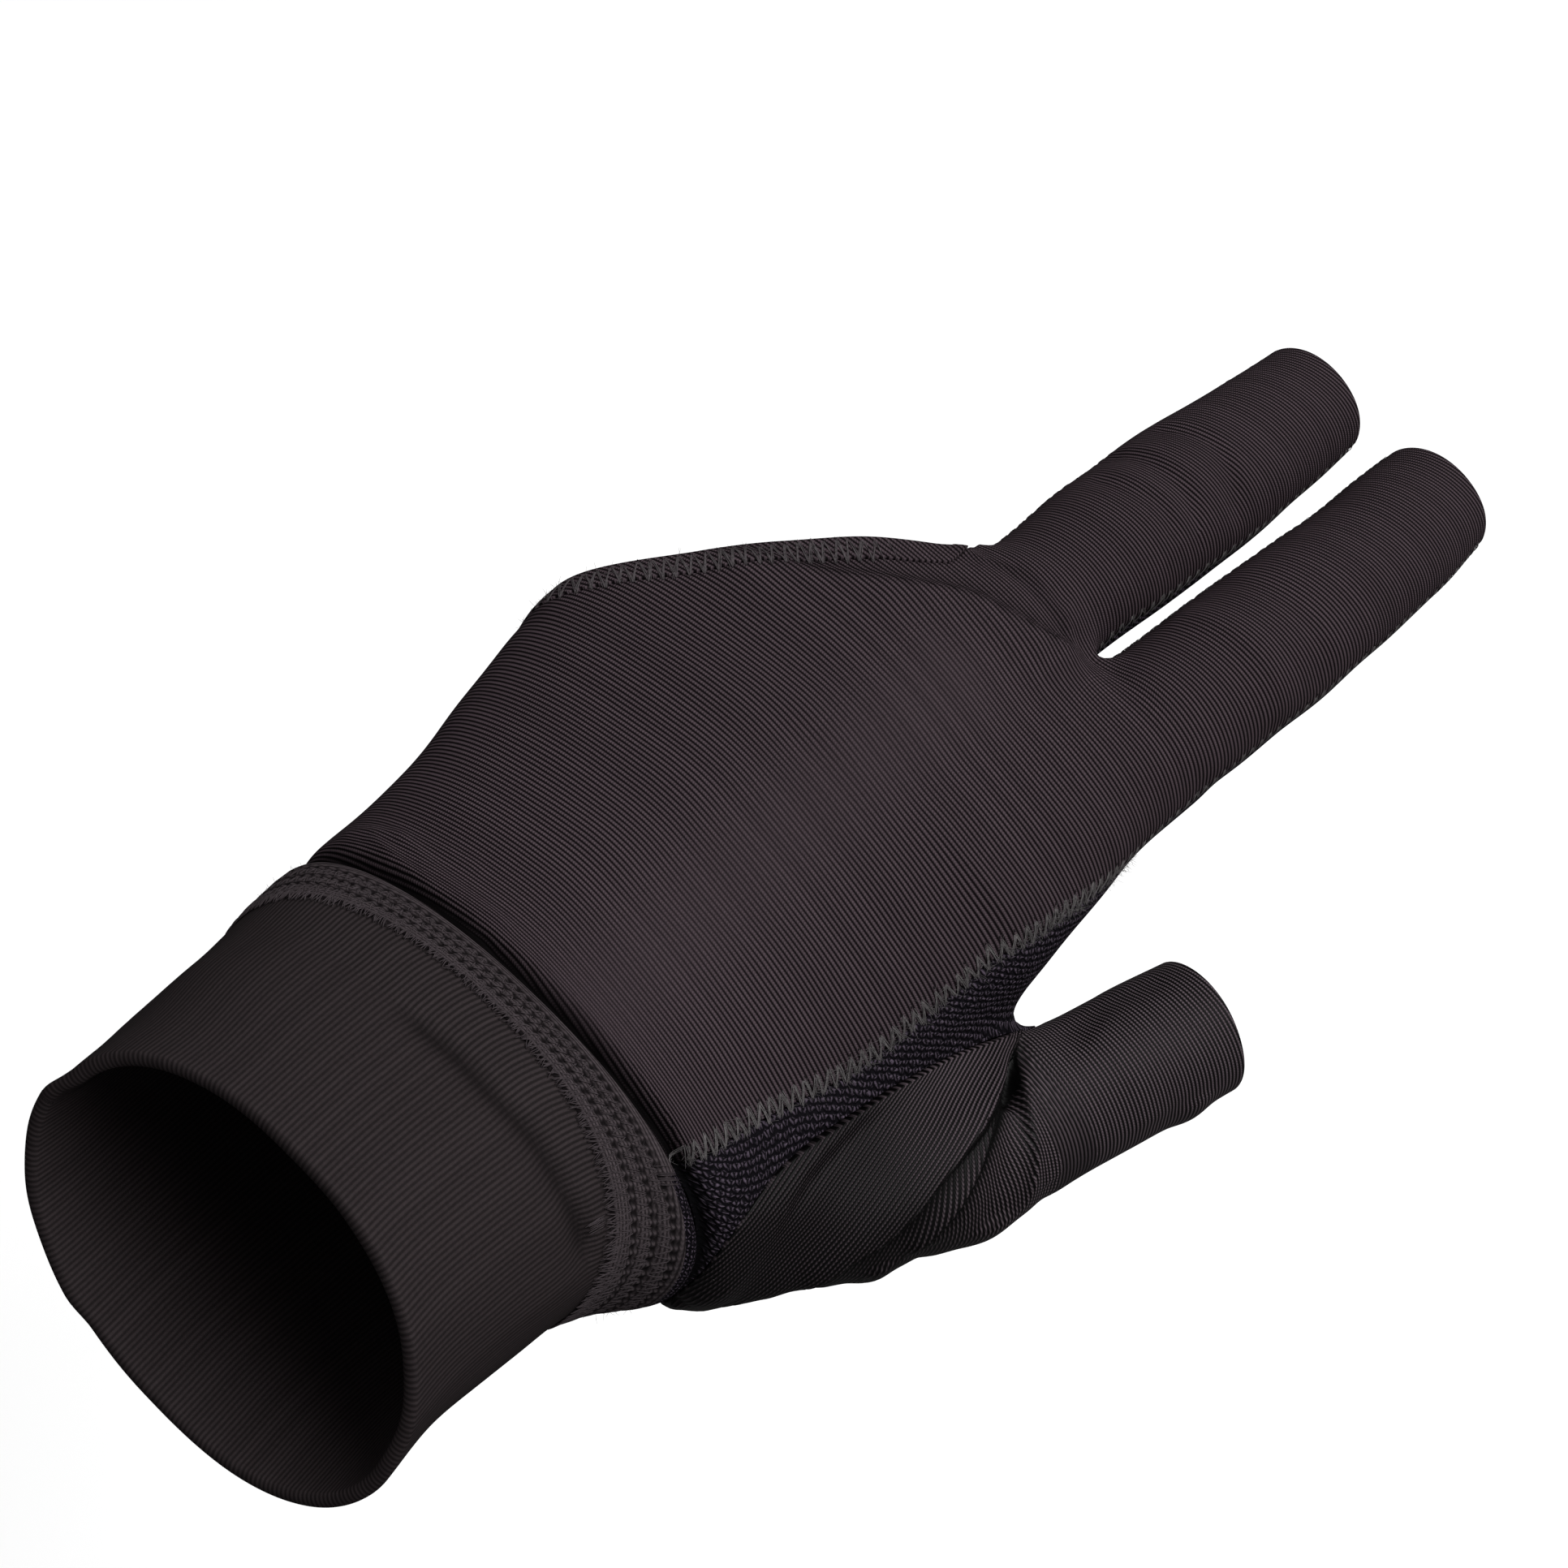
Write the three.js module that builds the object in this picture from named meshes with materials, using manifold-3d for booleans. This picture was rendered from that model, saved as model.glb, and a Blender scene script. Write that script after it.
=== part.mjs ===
// Billiard glove for the left hand, in the shape it takes when it is worn.
// Millimetres. Origin: centre of the wrist, where the cuff joins the hand.
// +X points to the fingers, +Y to the little finger, +Z to the back of the hand.
import * as THREE from 'three';
import { mergeVertices } from 'three/addons/utils/BufferGeometryUtils.js';
import Module from 'manifold-3d';

const wasm = await Module();
wasm.setup();

// Cloth and seams
const cloth = 1.6;          // thickness of a panel
const seamGap = 0.3;        // space left between two pieces that are sewn together
const cuffFold = 0.3;       // the cuff is doubled, so it stands this much proud of the panels
const bandRise = 0.8;       // the join band carries two seam allowances
const hemRise = 0.4;        // the hem of the side opening is turned once
const hemWidth = 3.6;
const roundOver = 0.5;      // how far a folded edge is rounded back
const edgeShare = 0.03;     // share of a band's width that its rounded edge takes

// Lengths along the hand
const knuckleFront = 98.5;  // the cloth between two finger stalls
const indexEnd = 162.5;
const middleEnd = 161;
const thumbEnd = 82.5;

// Sections of the worn form. Each row is one section across the limb:
// x, y, z = its centre, half = half its width, up and down = its height to the back and to the palm,
// round = 2 for an ellipse and more for a squarer section.
const handSections = [
  { x: -62, y: -0.8, z: 24.5, half: 28.0, up: 21.0, down: 21.0, round: 2.2 },
  { x: -48, y: -0.8, z: 19.0, half: 27.8, up: 21.0, down: 21.0, round: 2.2 },
  { x: -34, y: -0.2, z: 13.6, half: 27.6, up: 20.5, down: 20.5, round: 2.2 },
  { x: -20, y: 0.2, z: 7.6, half: 28.4, up: 20.0, down: 20.5, round: 2.2 },
  { x: -6, y: 0.1, z: 1.8, half: 30.1, up: 20.0, down: 21.2, round: 2.2 },
  { x: 8, y: -3.3, z: -0.7, half: 34.6, up: 19.0, down: 21.6, round: 2.2 },
  { x: 24, y: -1.9, z: -1.0, half: 33.8, up: 18.0, down: 21.0, round: 2.4 },
  { x: 42, y: -1.6, z: -0.6, half: 36.6, up: 16.0, down: 19.0, round: 2.4 },
  { x: 60, y: -2.4, z: 0.0, half: 39.2, up: 14.6, down: 16.8, round: 2.7 },
  { x: 74, y: -2.3, z: 0.0, half: 39.0, up: 13.8, down: 14.5, round: 2.6 },
  { x: 88, y: -0.9, z: -0.4, half: 36.8, up: 12.2, down: 12.7, round: 2.4 },
  { x: 95, y: -0.4, z: -0.6, half: 35.6, up: 10.8, down: 11.2, round: 2.3 },
  { x: 101, y: 0.0, z: -0.8, half: 31.0, up: 5.6, down: 6.0, round: 2.2 },
];
const indexSections = [
  { x: 62, y: -26.0, z: 0.0, half: 11.4, up: 11.6, down: 11.6, round: 2 },
  { x: 84, y: -27.6, z: 0.5, half: 10.6, up: 11.0, down: 11.0, round: 2 },
  { x: 104, y: -30.1, z: 0.0, half: 10.5, up: 10.4, down: 10.4, round: 2 },
  { x: 122, y: -32.0, z: -0.8, half: 10.5, up: 10.2, down: 10.2, round: 2 },
  { x: 138, y: -33.7, z: -1.8, half: 10.0, up: 9.8, down: 9.8, round: 2 },
  { x: 152, y: -34.6, z: -3.0, half: 9.5, up: 9.3, down: 9.3, round: 2 },
  { x: 164, y: -35.1, z: -4.2, half: 8.9, up: 8.7, down: 8.7, round: 2 },
  { x: 178, y: -36.2, z: -5.8, half: 8.1, up: 8.0, down: 8.0, round: 2 },
];
const middleSections = [
  { x: 62, y: -5.5, z: 0.6, half: 11.6, up: 12.0, down: 12.0, round: 2 },
  { x: 84, y: -6.8, z: 1.0, half: 10.8, up: 11.2, down: 11.2, round: 2 },
  { x: 104, y: -7.7, z: 0.6, half: 10.0, up: 10.0, down: 10.0, round: 2 },
  { x: 120, y: -9.0, z: 0.0, half: 10.4, up: 10.2, down: 10.2, round: 2 },
  { x: 136, y: -10.7, z: -1.0, half: 10.2, up: 10.0, down: 10.0, round: 2 },
  { x: 150, y: -12.2, z: -2.2, half: 9.4, up: 9.2, down: 9.2, round: 2 },
  { x: 162, y: -13.1, z: -3.4, half: 8.8, up: 8.6, down: 8.6, round: 2 },
  { x: 176, y: -14.6, z: -5.0, half: 8.2, up: 8.0, down: 8.0, round: 2 },
];
const thumbSections = [
  { x: -8, y: -15.0, z: -5.0, half: 9.0, up: 9.0, down: 9.0, round: 2 },
  { x: 12, y: -25.4, z: -9.2, half: 15.0, up: 14.6, down: 14.6, round: 2 },
  { x: 28, y: -36.0, z: -12.0, half: 15.0, up: 14.6, down: 14.6, round: 2 },
  { x: 44, y: -46.1, z: -14.8, half: 12.8, up: 12.6, down: 12.6, round: 2 },
  { x: 58, y: -52.2, z: -16.0, half: 10.3, up: 10.1, down: 10.1, round: 2 },
  { x: 72, y: -56.7, z: -16.5, half: 9.7, up: 9.5, down: 9.5, round: 2 },
  { x: 86, y: -60.9, z: -17.0, half: 9.3, up: 9.1, down: 9.1, round: 2 },
  { x: 100, y: -65.1, z: -17.4, half: 9.0, up: 8.8, down: 8.8, round: 2 },
];

// Edges that run around the wrist, as the x of the section that each reaches.
const wristEdges = {
  cuffEnd: { back: -38.5, thumb: -44.5, palm: -44.5, little: -40.5 },
  bandStart: { back: -3.4, thumb: -9.6, palm: -7.6, little: -6.8 },
  bandEnd: { back: 4.4, thumb: 1.8, palm: 0.8, little: 3.6 },
};

// Folds, ridges and creases of the cloth. Each row is a line over the surface:
// height above the cloth (a crease is negative), width to each side, and the points that it passes.
const handFolds = [
  { height: 1.3, width: 4.0, points: [[6, 31, 8], [8, 20, 17], [9, 2, 19], [10, -14, 17], [9, -25, 11]] },
  { height: 0.9, width: 3.5, points: [[10, 31, 6], [20, 22, 15], [30, 10, 18]] },
  { height: -0.9, width: 3.5, points: [[92, 2, 12], [96, -6, 12], [98, -13, 9]] },
  { height: 0.8, width: 4.0, points: [[60, 20, 14], [80, 8, 13], [95, -4, 12]] },
  { height: 0.9, width: 4.0, points: [[6, -29, 0], [5, -20, -17], [5, 0, -22], [6, 20, -17]] },
];
const cuffFolds = [
  { height: -1.0, width: 3.0, points: [[-7, 18, 21], [-7, 3, 24], [-7, -10, 22], [-7, -24, 15]] },
  { height: 0.9, width: 5.0, points: [[-20, 29, 8], [-16, 16, 25], [-18, 0, 29], [-17, -14, 26]] },
  { height: -0.8, width: 5.0, points: [[-30, 28, 12], [-28, 18, 26], [-30, 2, 32], [-31, -16, 28]] },
  { height: 1.4, width: 7.0, points: [[-40, 27, 22], [-50, 22, 8], [-54, 8, 0]] },
];
const middleFolds = [
  { height: -0.8, width: 2.6, points: [[108, 2, 2], [109, -8, 10], [107, -17, 3]] },
  { height: 0.7, width: 2.8, points: [[116, 1, 2], [118, -9, 10], [114, -19, 2]] },
  { height: -0.6, width: 2.4, points: [[124, 1, 2], [126, -9, 10], [123, -19, 2]] },
];
const indexFolds = [
  { height: 0.6, width: 3.0, points: [[112, -20, 2], [116, -31, 10], [112, -41, 2]] },
  { height: -0.5, width: 3.0, points: [[122, -22, 2], [125, -32, 9], [121, -42, 2]] },
];
const thumbFolds = [
  { height: 1.1, width: 4.6, points: [[55, -44, -6], [45, -46, -2], [35, -47, -1], [25, -47, -3], [18, -47, -14]] },
  { height: -0.9, width: 4.0, points: [[57, -45, -8], [51, -50, -4], [45, -55, -5], [39, -58, -11]] },
  { height: 0.6, width: 4.0, points: [[66, -50, -9], [67, -58, -8], [65, -65, -13]] },
];

// The side seam between the back panel and the palm panel, as a height over the palm:
// on the thumb side it climbs on to the back of the hand near the wrist.
const seamLine = [
  { x: -10, thumb: 17.5, little: -3 },
  { x: 4, thumb: 17, little: -4 },
  { x: 11, thumb: 15.4, little: -4 },
  { x: 17, thumb: 13.4, little: -4 },
  { x: 24, thumb: 10.7, little: -4 },
  { x: 32, thumb: 8.2, little: -4 },
  { x: 40, thumb: 7.4, little: -4 },
  { x: 57, thumb: 7.9, little: -4 },
  { x: 63, thumb: 7.4, little: -4 },
  { x: 71, thumb: 5.6, little: -3.3 },
  { x: 80, thumb: 2.2, little: -1.6 },
  { x: 88, thumb: 0.4, little: 0 },
  { x: 104, thumb: 0, little: 0.6 },
  { x: 122, thumb: -0.8, little: 0 },
  { x: 140, thumb: -2.0, little: -1.4 },
  { x: 164, thumb: -4.2, little: -3.6 },
  { x: 180, thumb: -6.0, little: -5.4 },
];

// The edge of the thumb gusset seen from above, from the wrist to the thumb crotch.
const gussetEdge = [
  [-4, -40], [2, -38.6], [9.6, -36.6], [16, -35.8], [23, -36.1], [30, -37.5], [36.5, -38.9], [43.6, -40.7],
  [52, -43.4], [61, -46.6], [74, -50],
];
const gussetLean = 0.16;    // the edge moves to the palm's middle by this much for each mm down
const gussetTop = 7;        // height at which the edge is as drawn
const gussetReach = 12;     // how far the thumb's side goes on past both ends of the edge

// The side opening for the ring and little fingers, seen from above, from the web to the outer edge.
const openingEdge = [[95.5, 1.6], [88.5, 7.6], [82, 13.2], [73.5, 19.6], [65, 26], [58.2, 32], [53.5, 37], [49, 43]];
const openingLean = 0.3;    // the palm side of the opening sits further back
const webSide = 2.8;        // y of the cut between the opening and the middle finger's stall
const openingBack = 30;     // x that the cut reaches back to, beside the outer edge of the hand
const openingOver = 8;      // how far the cut runs on past the outer edge

// Fineness of the mesh
const outerSides = 40;
const wristSides = 36;
const innerSides = 26;
const stallSides = 22;
const stallInnerSides = 14;
const thumbSides = 28;
const thumbInnerSides = 20;

// A smooth curve through the rows of a section table: reads every column at a given x.
function readSection(rows, x) {
  const last = rows.length - 1;
  let i = 0;
  while (i < last - 1 && rows[i + 1].x < x) i += 1;
  const before = rows[Math.max(i - 1, 0)];
  const from = rows[i];
  const to = rows[i + 1];
  const after = rows[Math.min(i + 2, last)];
  const span = to.x - from.x;
  const t = (x - from.x) / span;
  const section = { x };
  for (const key of ['y', 'z', 'half', 'up', 'down', 'round']) {
    const slopeFrom = before === from ? (to[key] - from[key]) / span : (to[key] - before[key]) / (to.x - before.x);
    const slopeTo = after === to ? (to[key] - from[key]) / span : (after[key] - from[key]) / (after.x - from.x);
    const a = 2 * t ** 3 - 3 * t ** 2 + 1;
    const b = t ** 3 - 2 * t ** 2 + t;
    const c = -2 * t ** 3 + 3 * t ** 2;
    const d = t ** 3 - t ** 2;
    section[key] = a * from[key] + b * span * slopeFrom + c * to[key] + d * span * slopeTo;
  }
  return section;
}

const slopeStep = 0.5;      // distance over which a limb's direction is read

// A point on a limb: turn 0 is the little finger side, a quarter turn is the back of the hand.
function limbPoint(limb, x, turn, grow) {
  const here = readSection(limb.sections, x);
  const ahead = readSection(limb.sections, x + slopeStep);
  const behind = readSection(limb.sections, x - slopeStep);
  const sideways = limb.square ? 0 : ahead.y - behind.y;
  const along = new THREE.Vector3(2 * slopeStep, sideways, ahead.z - behind.z).normalize();
  const side = new THREE.Vector3(0, 1, 0).addScaledVector(along, -along.y).normalize();
  const up = new THREE.Vector3().crossVectors(along, side);
  const angle = turn * 2 * Math.PI;
  const high = Math.sin(angle) >= 0 ? here.up : here.down;
  const power = 2 / here.round;
  const across = Math.sign(Math.cos(angle)) * Math.abs(Math.cos(angle)) ** power;
  const rise = Math.sign(Math.sin(angle)) * Math.abs(Math.sin(angle)) ** power;
  const slope = here.round - 1;
  const normal = new THREE.Vector2(
    (Math.sign(across) * Math.abs(across) ** slope) / here.half,
    (Math.sign(rise) * Math.abs(rise) ** slope) / high,
  ).normalize();
  const point = new THREE.Vector3(here.x, here.y, here.z);
  point.addScaledVector(side, across * here.half).addScaledVector(up, rise * high);
  const lift = grow + foldHeight(limb.folds, point);
  return point.addScaledVector(side, normal.x * lift).addScaledVector(up, normal.y * lift);
}

const fadeAtEnd = 0.3;      // share of a fold's height that is left at its two ends
const fadeRate = 2.4;

// Height of the folds at a point: each fades to its sides and towards its two ends.
function foldHeight(folds, point) {
  let height = 0;
  for (const fold of folds) {
    let nearest = Infinity;
    let place = 0;
    const spans = fold.points.length - 1;
    for (let i = 0; i < spans; i += 1) {
      const a = new THREE.Vector3(...fold.points[i]);
      const b = new THREE.Vector3(...fold.points[i + 1]);
      const span = b.clone().sub(a);
      const t = THREE.MathUtils.clamp(point.clone().sub(a).dot(span) / span.lengthSq(), 0, 1);
      const distance = a.addScaledVector(span, t).distanceTo(point);
      if (distance < nearest) {
        nearest = distance;
        place = (i + t) / spans;
      }
    }
    const fade = Math.min(1, fadeAtEnd + fadeRate * Math.min(place, 1 - place));
    height += fold.height * fade * Math.exp(-((nearest / fold.width) ** 2));
  }
  return height;
}

// The sections of a square limb don't turn sideways where its centre does.
const hand = { sections: handSections, folds: handFolds, square: true };
const wrist = { sections: handSections, folds: cuffFolds, square: true };
const plainHand = { sections: handSections, folds: [], square: true };
const index = { sections: indexSections, folds: indexFolds };
const middle = { sections: middleSections, folds: middleFolds };
const thumb = { sections: thumbSections, folds: thumbFolds };

// The x that an edge around the wrist has at a turn: a smooth curve through its four sides.
function edgeAt(edge, turn) {
  const angle = turn * 2 * Math.PI;
  const even = (edge.back + edge.thumb + edge.palm + edge.little) / 4;
  const sideways = (edge.little - edge.thumb) / 2;
  const upright = (edge.back - edge.palm) / 2;
  const oval = (edge.little + edge.thumb - edge.back - edge.palm) / 4;
  return even + sideways * Math.cos(angle) + upright * Math.sin(angle) + oval * Math.cos(2 * angle);
}

// A geometry from rings of points. Each ring joins the next, and open ends are closed by a fan.
function skin(rings, closedLoop) {
  const sides = rings[0].length;
  const positions = rings.flat().flatMap((p) => [p.x, p.y, p.z]);
  const triangles = [];
  const ringCount = closedLoop ? rings.length : rings.length - 1;
  for (let r = 0; r < ringCount; r += 1) {
    const next = ((r + 1) % rings.length) * sides;
    for (let s = 0; s < sides; s += 1) {
      const s2 = (s + 1) % sides;
      triangles.push(r * sides + s, r * sides + s2, next + s2, r * sides + s, next + s2, next + s);
    }
  }
  if (!closedLoop) {
    for (const [ring, outward] of [[0, 1], [rings.length - 1, 0]]) {
      const centre = rings[ring].reduce((sum, p) => sum.add(p), new THREE.Vector3()).divideScalar(sides);
      const hub = positions.length / 3;
      positions.push(centre.x, centre.y, centre.z);
      for (let s = 0; s < sides; s += 1) {
        const a = ring * sides + s;
        const b = ring * sides + ((s + 1) % sides);
        triangles.push(...(outward ? [hub, b, a] : [hub, a, b]));
      }
    }
  }
  const geometry = new THREE.BufferGeometry();
  geometry.setAttribute('position', new THREE.Float32BufferAttribute(positions, 3));
  geometry.setIndex(triangles);
  return geometry;
}

// An edge is one number all round, or a function of the turn.
function valueAt(edge, turn) {
  return typeof edge === 'function' ? edge(turn) : edge;
}

// One ring of a limb, at an x that may change with the turn.
function ringAt(limb, sides, x, grow) {
  const ring = [];
  for (let s = 0; s < sides; s += 1) {
    const turn = s / sides;
    ring.push(limbPoint(limb, valueAt(x, turn), turn, grow));
  }
  return ring;
}

function solidOf(geometry) {
  const bare = geometry.clone();
  bare.deleteAttribute('normal');
  bare.deleteAttribute('uv');
  const merged = mergeVertices(bare);
  const vertProperties = Float32Array.from(merged.attributes.position.array);
  const triVerts = Uint32Array.from(merged.index.array);
  return new wasm.Manifold(new wasm.Mesh({ numProp: 3, vertProperties, triVerts }));
}

// A filled limb from one x to another, in a given number of steps.
function limbSolid(limb, sides, from, to, steps, grow) {
  const rings = [];
  for (let i = 0; i <= steps; i += 1) {
    const at = (turn) => THREE.MathUtils.lerp(valueAt(from, turn), valueAt(to, turn), i / steps);
    rings.push(ringAt(limb, sides, at, grow));
  }
  return solidOf(skin(rings, false));
}

// A band of cloth around the wrist, with both of its long edges rounded.
function wristBand(limb, from, to, rise, steps) {
  const rings = [];
  const mix = (t) => (turn) => from(turn) + (to(turn) - from(turn)) * t;
  rings.push(ringAt(limb, wristSides, mix(0), rise - roundOver));
  for (let i = 0; i <= steps.outer; i += 1) {
    const t = THREE.MathUtils.lerp(edgeShare, 1 - edgeShare, i / steps.outer);
    rings.push(ringAt(limb, wristSides, mix(t), rise));
  }
  rings.push(ringAt(limb, wristSides, mix(1), rise - roundOver));
  for (let i = steps.inner; i >= 0; i -= 1) {
    rings.push(ringAt(limb, wristSides, mix(i / steps.inner), -cloth));
  }
  return solidOf(skin(rings, true));
}

// Blocks that cut the form reach this far, well clear of the glove.
const clear = { arm: -25, fingers: 190, thumbSide: -110, littleSide: 90, upright: 70 };
const seamSides = { thumb: -38, little: 36 };   // where the side seam lies at its two ends of the hand
const seamStep = 5;

// A block that holds everything above the side seam, or everything below it.
function seamBlock(above, gap) {
  const far = above ? clear.upright : -clear.upright;
  const stations = [];
  for (let x = clear.arm; x <= clear.fingers; x += seamStep) stations.push(x);
  const seamAt = (x, side) => {
    const rows = seamLine;
    let i = 0;
    while (i < rows.length - 2 && rows[i + 1].x < x) i += 1;
    const t = THREE.MathUtils.clamp((x - rows[i].x) / (rows[i + 1].x - rows[i].x), 0, 1);
    return THREE.MathUtils.lerp(rows[i][side], rows[i + 1][side], t);
  };
  const rings = stations.map((x) => {
    const low = [
      [clear.thumbSide, seamAt(x, 'thumb')],
      [seamSides.thumb, seamAt(x, 'thumb')],
      [seamSides.little, seamAt(x, 'little')],
      [clear.littleSide, seamAt(x, 'little')],
    ].map(([y, z]) => new THREE.Vector3(x, y, z + gap));
    const high = [new THREE.Vector3(x, clear.littleSide, far), new THREE.Vector3(x, clear.thumbSide, far)];
    const ring = [...low, ...high];
    return above ? ring : ring.reverse();
  });
  return solidOf(skin(rings, false));
}

// An upright block over an outline seen from above, that leans as it goes down.
function leaningBlock(outline, leanX, leanY, level) {
  const depth = 2 * clear.upright;
  const shape = new THREE.Shape(outline.map(([x, y]) => new THREE.Vector2(x, y)));
  const geometry = new THREE.ExtrudeGeometry(shape, { depth, bevelEnabled: false });
  geometry.translate(0, 0, -depth / 2);
  const position = geometry.attributes.position;
  for (let i = 0; i < position.count; i += 1) {
    const drop = level - position.getZ(i);
    position.setX(i, position.getX(i) - leanX * drop);
    position.setY(i, position.getY(i) + leanY * drop);
  }
  return solidOf(geometry);
}

// Moves an open line sideways, to its left as it is drawn.
function shiftLine(points, distance) {
  return points.map((point, i) => {
    const a = points[Math.max(i - 1, 0)];
    const b = points[Math.min(i + 1, points.length - 1)];
    const length = Math.hypot(b[0] - a[0], b[1] - a[1]);
    return [point[0] - ((b[1] - a[1]) / length) * distance, point[1] + ((b[0] - a[0]) / length) * distance];
  });
}

// Everything on the thumb's side of the gusset edge, grown by a gap.
function gussetBlock(grow) {
  const edge = shiftLine(gussetEdge, grow);
  const front = thumbEnd + 2 * gussetReach;
  const back = edge[0][0] - gussetReach;
  const outline = [...edge, [front, edge.at(-1)[1]], [front, clear.thumbSide], [back, clear.thumbSide], [back, edge[0][1]]];
  return leaningBlock(outline, 0, gussetLean, gussetTop);
}

// Everything beyond the side opening. A wider one reaches back over the hem.
function openingBlock(width) {
  const edge = shiftLine(openingEdge, width);
  const outline = [
    [clear.fingers, webSide],
    [clear.fingers, clear.littleSide],
    [openingBack, clear.littleSide],
    [openingBack, edge.at(-1)[1] + openingOver],
    ...edge.toReversed(),
    [knuckleFront + 1, webSide],
  ];
  return leaningBlock(outline, openingLean, 0, 0);
}

const fingerRoot = 66;      // x at which the finger stalls start, inside the hand
const thumbRoot = -4;
const past = 12;            // how far the hollow runs on past an open end

// The worn form as one filled solid, larger or smaller than the cloth's outer face.
function form(grow, start, sides, stallRing, thumbRing, steps) {
  const beyond = grow < 0 ? past : 0;
  const front = knuckleFront + grow;
  const parts = [
    limbSolid(grow > 0 ? plainHand : hand, sides, start, front, steps.hand, grow),
    limbSolid(index, stallRing, fingerRoot, indexEnd + beyond, steps.stall, grow),
    limbSolid(middle, stallRing, fingerRoot, middleEnd + beyond, steps.stall, grow),
    limbSolid(thumb, thumbRing, thumbRoot, thumbEnd + beyond, steps.thumb, grow),
  ];
  return parts.reduce((sum, part) => sum.add(part));
}

const wristSteps = 3;
const wristBlockRise = 14;  // the block that clears the band is this much larger than the wrist
const handStart = (turn) => edgeAt(wristEdges.bandEnd, turn) + seamGap;
const outer = form(0, handStart, outerSides, stallSides, thumbSides, { hand: 22, stall: 16, thumb: 23 });
const innerSteps = { hand: 13, stall: 9, thumb: 17 };
const inner = form(-cloth, -past, innerSides, stallInnerSides, thumbInnerSides, innerSteps);
const wristBlock = limbSolid(plainHand, wristSides, -past, handStart, wristSteps, wristBlockRise);
const shell = outer.subtract(inner).subtract(wristBlock);
const panels = shell.subtract(openingBlock(hemWidth + seamGap));

const thumbStall = panels.intersect(gussetBlock(0));
const backAndPalm = panels.subtract(gussetBlock(seamGap));
const backPanel = backAndPalm.intersect(seamBlock(true, seamGap / 2));
const palmPanel = backAndPalm.intersect(seamBlock(false, -seamGap / 2));

const hemStart = 20;
const hemOuter = form(hemRise, hemStart, outerSides, stallSides, thumbSides, { hand: 16, stall: 16, thumb: 2 });
const hemStrip = openingBlock(hemWidth).subtract(openingBlock(0));
const openingHem = hemOuter.subtract(inner).intersect(hemStrip);

const cuffEnd = (turn) => edgeAt(wristEdges.cuffEnd, turn);
const bandStart = (turn) => edgeAt(wristEdges.bandStart, turn);
const bandEnd = (turn) => edgeAt(wristEdges.bandEnd, turn);
const cuffSteps = { outer: 8, inner: 5 };
const bandSteps = { outer: 3, inner: 2 };
const cuffFront = (turn) => bandStart(turn) - seamGap;
const cuff = wristBand(wrist, cuffEnd, cuffFront, cuffFold, cuffSteps);
const joinBand = wristBand(wrist, bandStart, bandEnd, bandRise, bandSteps);

// Colours read off the cloth in the photograph
const ribKnit = { color: '#2b282a', roughness: 0.82, metalness: 0 };
const meshKnit = { color: '#1b1b22', roughness: 0.9, metalness: 0 };
const smoothKnit = { color: '#222024', roughness: 0.6, metalness: 0 };

const glove = new THREE.Group();

function addPiece(name, solid, finish) {
  const mesh = solid.getMesh();
  const geometry = new THREE.BufferGeometry();
  geometry.setAttribute('position', new THREE.BufferAttribute(Float32Array.from(mesh.vertProperties), 3));
  geometry.setIndex(new THREE.BufferAttribute(Uint32Array.from(mesh.triVerts), 1));
  geometry.computeVertexNormals();
  const piece = new THREE.Mesh(geometry, new THREE.MeshStandardMaterial(finish));
  piece.name = name;
  glove.add(piece);
}

addPiece('cuff', cuff, ribKnit);
addPiece('join_band', joinBand, ribKnit);
addPiece('back_panel', backPanel, ribKnit);
addPiece('palm_panel', palmPanel, meshKnit);
addPiece('thumb_stall', thumbStall, smoothKnit);
addPiece('opening_hem', openingHem, ribKnit);

export default glove;
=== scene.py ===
# %% [markdown]
# A billiard glove for the left hand, in the shape that it takes when it is worn.
# It is sewn from three stretch knits: a fine ribbed knit for the back and the cuff, an open mesh knit for
# the palm, and a smoother ribbed knit for the thumb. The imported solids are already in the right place, so
# this lesson loads them first, and then makes a softer and finer piece over each one.

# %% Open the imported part
import math

import bpy
import numpy as np
from mathutils import Matrix, Vector


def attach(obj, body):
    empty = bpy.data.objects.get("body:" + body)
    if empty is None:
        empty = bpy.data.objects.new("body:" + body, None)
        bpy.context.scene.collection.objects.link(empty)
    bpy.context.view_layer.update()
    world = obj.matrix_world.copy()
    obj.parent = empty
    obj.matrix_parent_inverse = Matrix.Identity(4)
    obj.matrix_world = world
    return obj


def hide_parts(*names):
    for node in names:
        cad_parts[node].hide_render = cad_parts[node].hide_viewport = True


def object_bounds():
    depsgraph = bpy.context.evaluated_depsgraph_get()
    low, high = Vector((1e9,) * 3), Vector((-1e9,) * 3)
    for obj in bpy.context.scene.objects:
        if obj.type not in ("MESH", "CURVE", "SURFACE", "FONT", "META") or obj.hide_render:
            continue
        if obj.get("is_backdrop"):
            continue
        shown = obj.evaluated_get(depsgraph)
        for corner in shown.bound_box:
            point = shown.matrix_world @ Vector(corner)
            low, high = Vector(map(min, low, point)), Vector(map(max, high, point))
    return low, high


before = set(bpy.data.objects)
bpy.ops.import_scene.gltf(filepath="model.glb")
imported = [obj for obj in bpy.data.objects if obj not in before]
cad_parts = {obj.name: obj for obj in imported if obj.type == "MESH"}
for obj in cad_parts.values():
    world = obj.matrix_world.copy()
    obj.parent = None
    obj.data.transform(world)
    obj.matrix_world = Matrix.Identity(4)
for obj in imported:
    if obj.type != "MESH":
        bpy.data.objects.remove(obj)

cad_low, cad_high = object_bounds()
MM = 0.001


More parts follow.
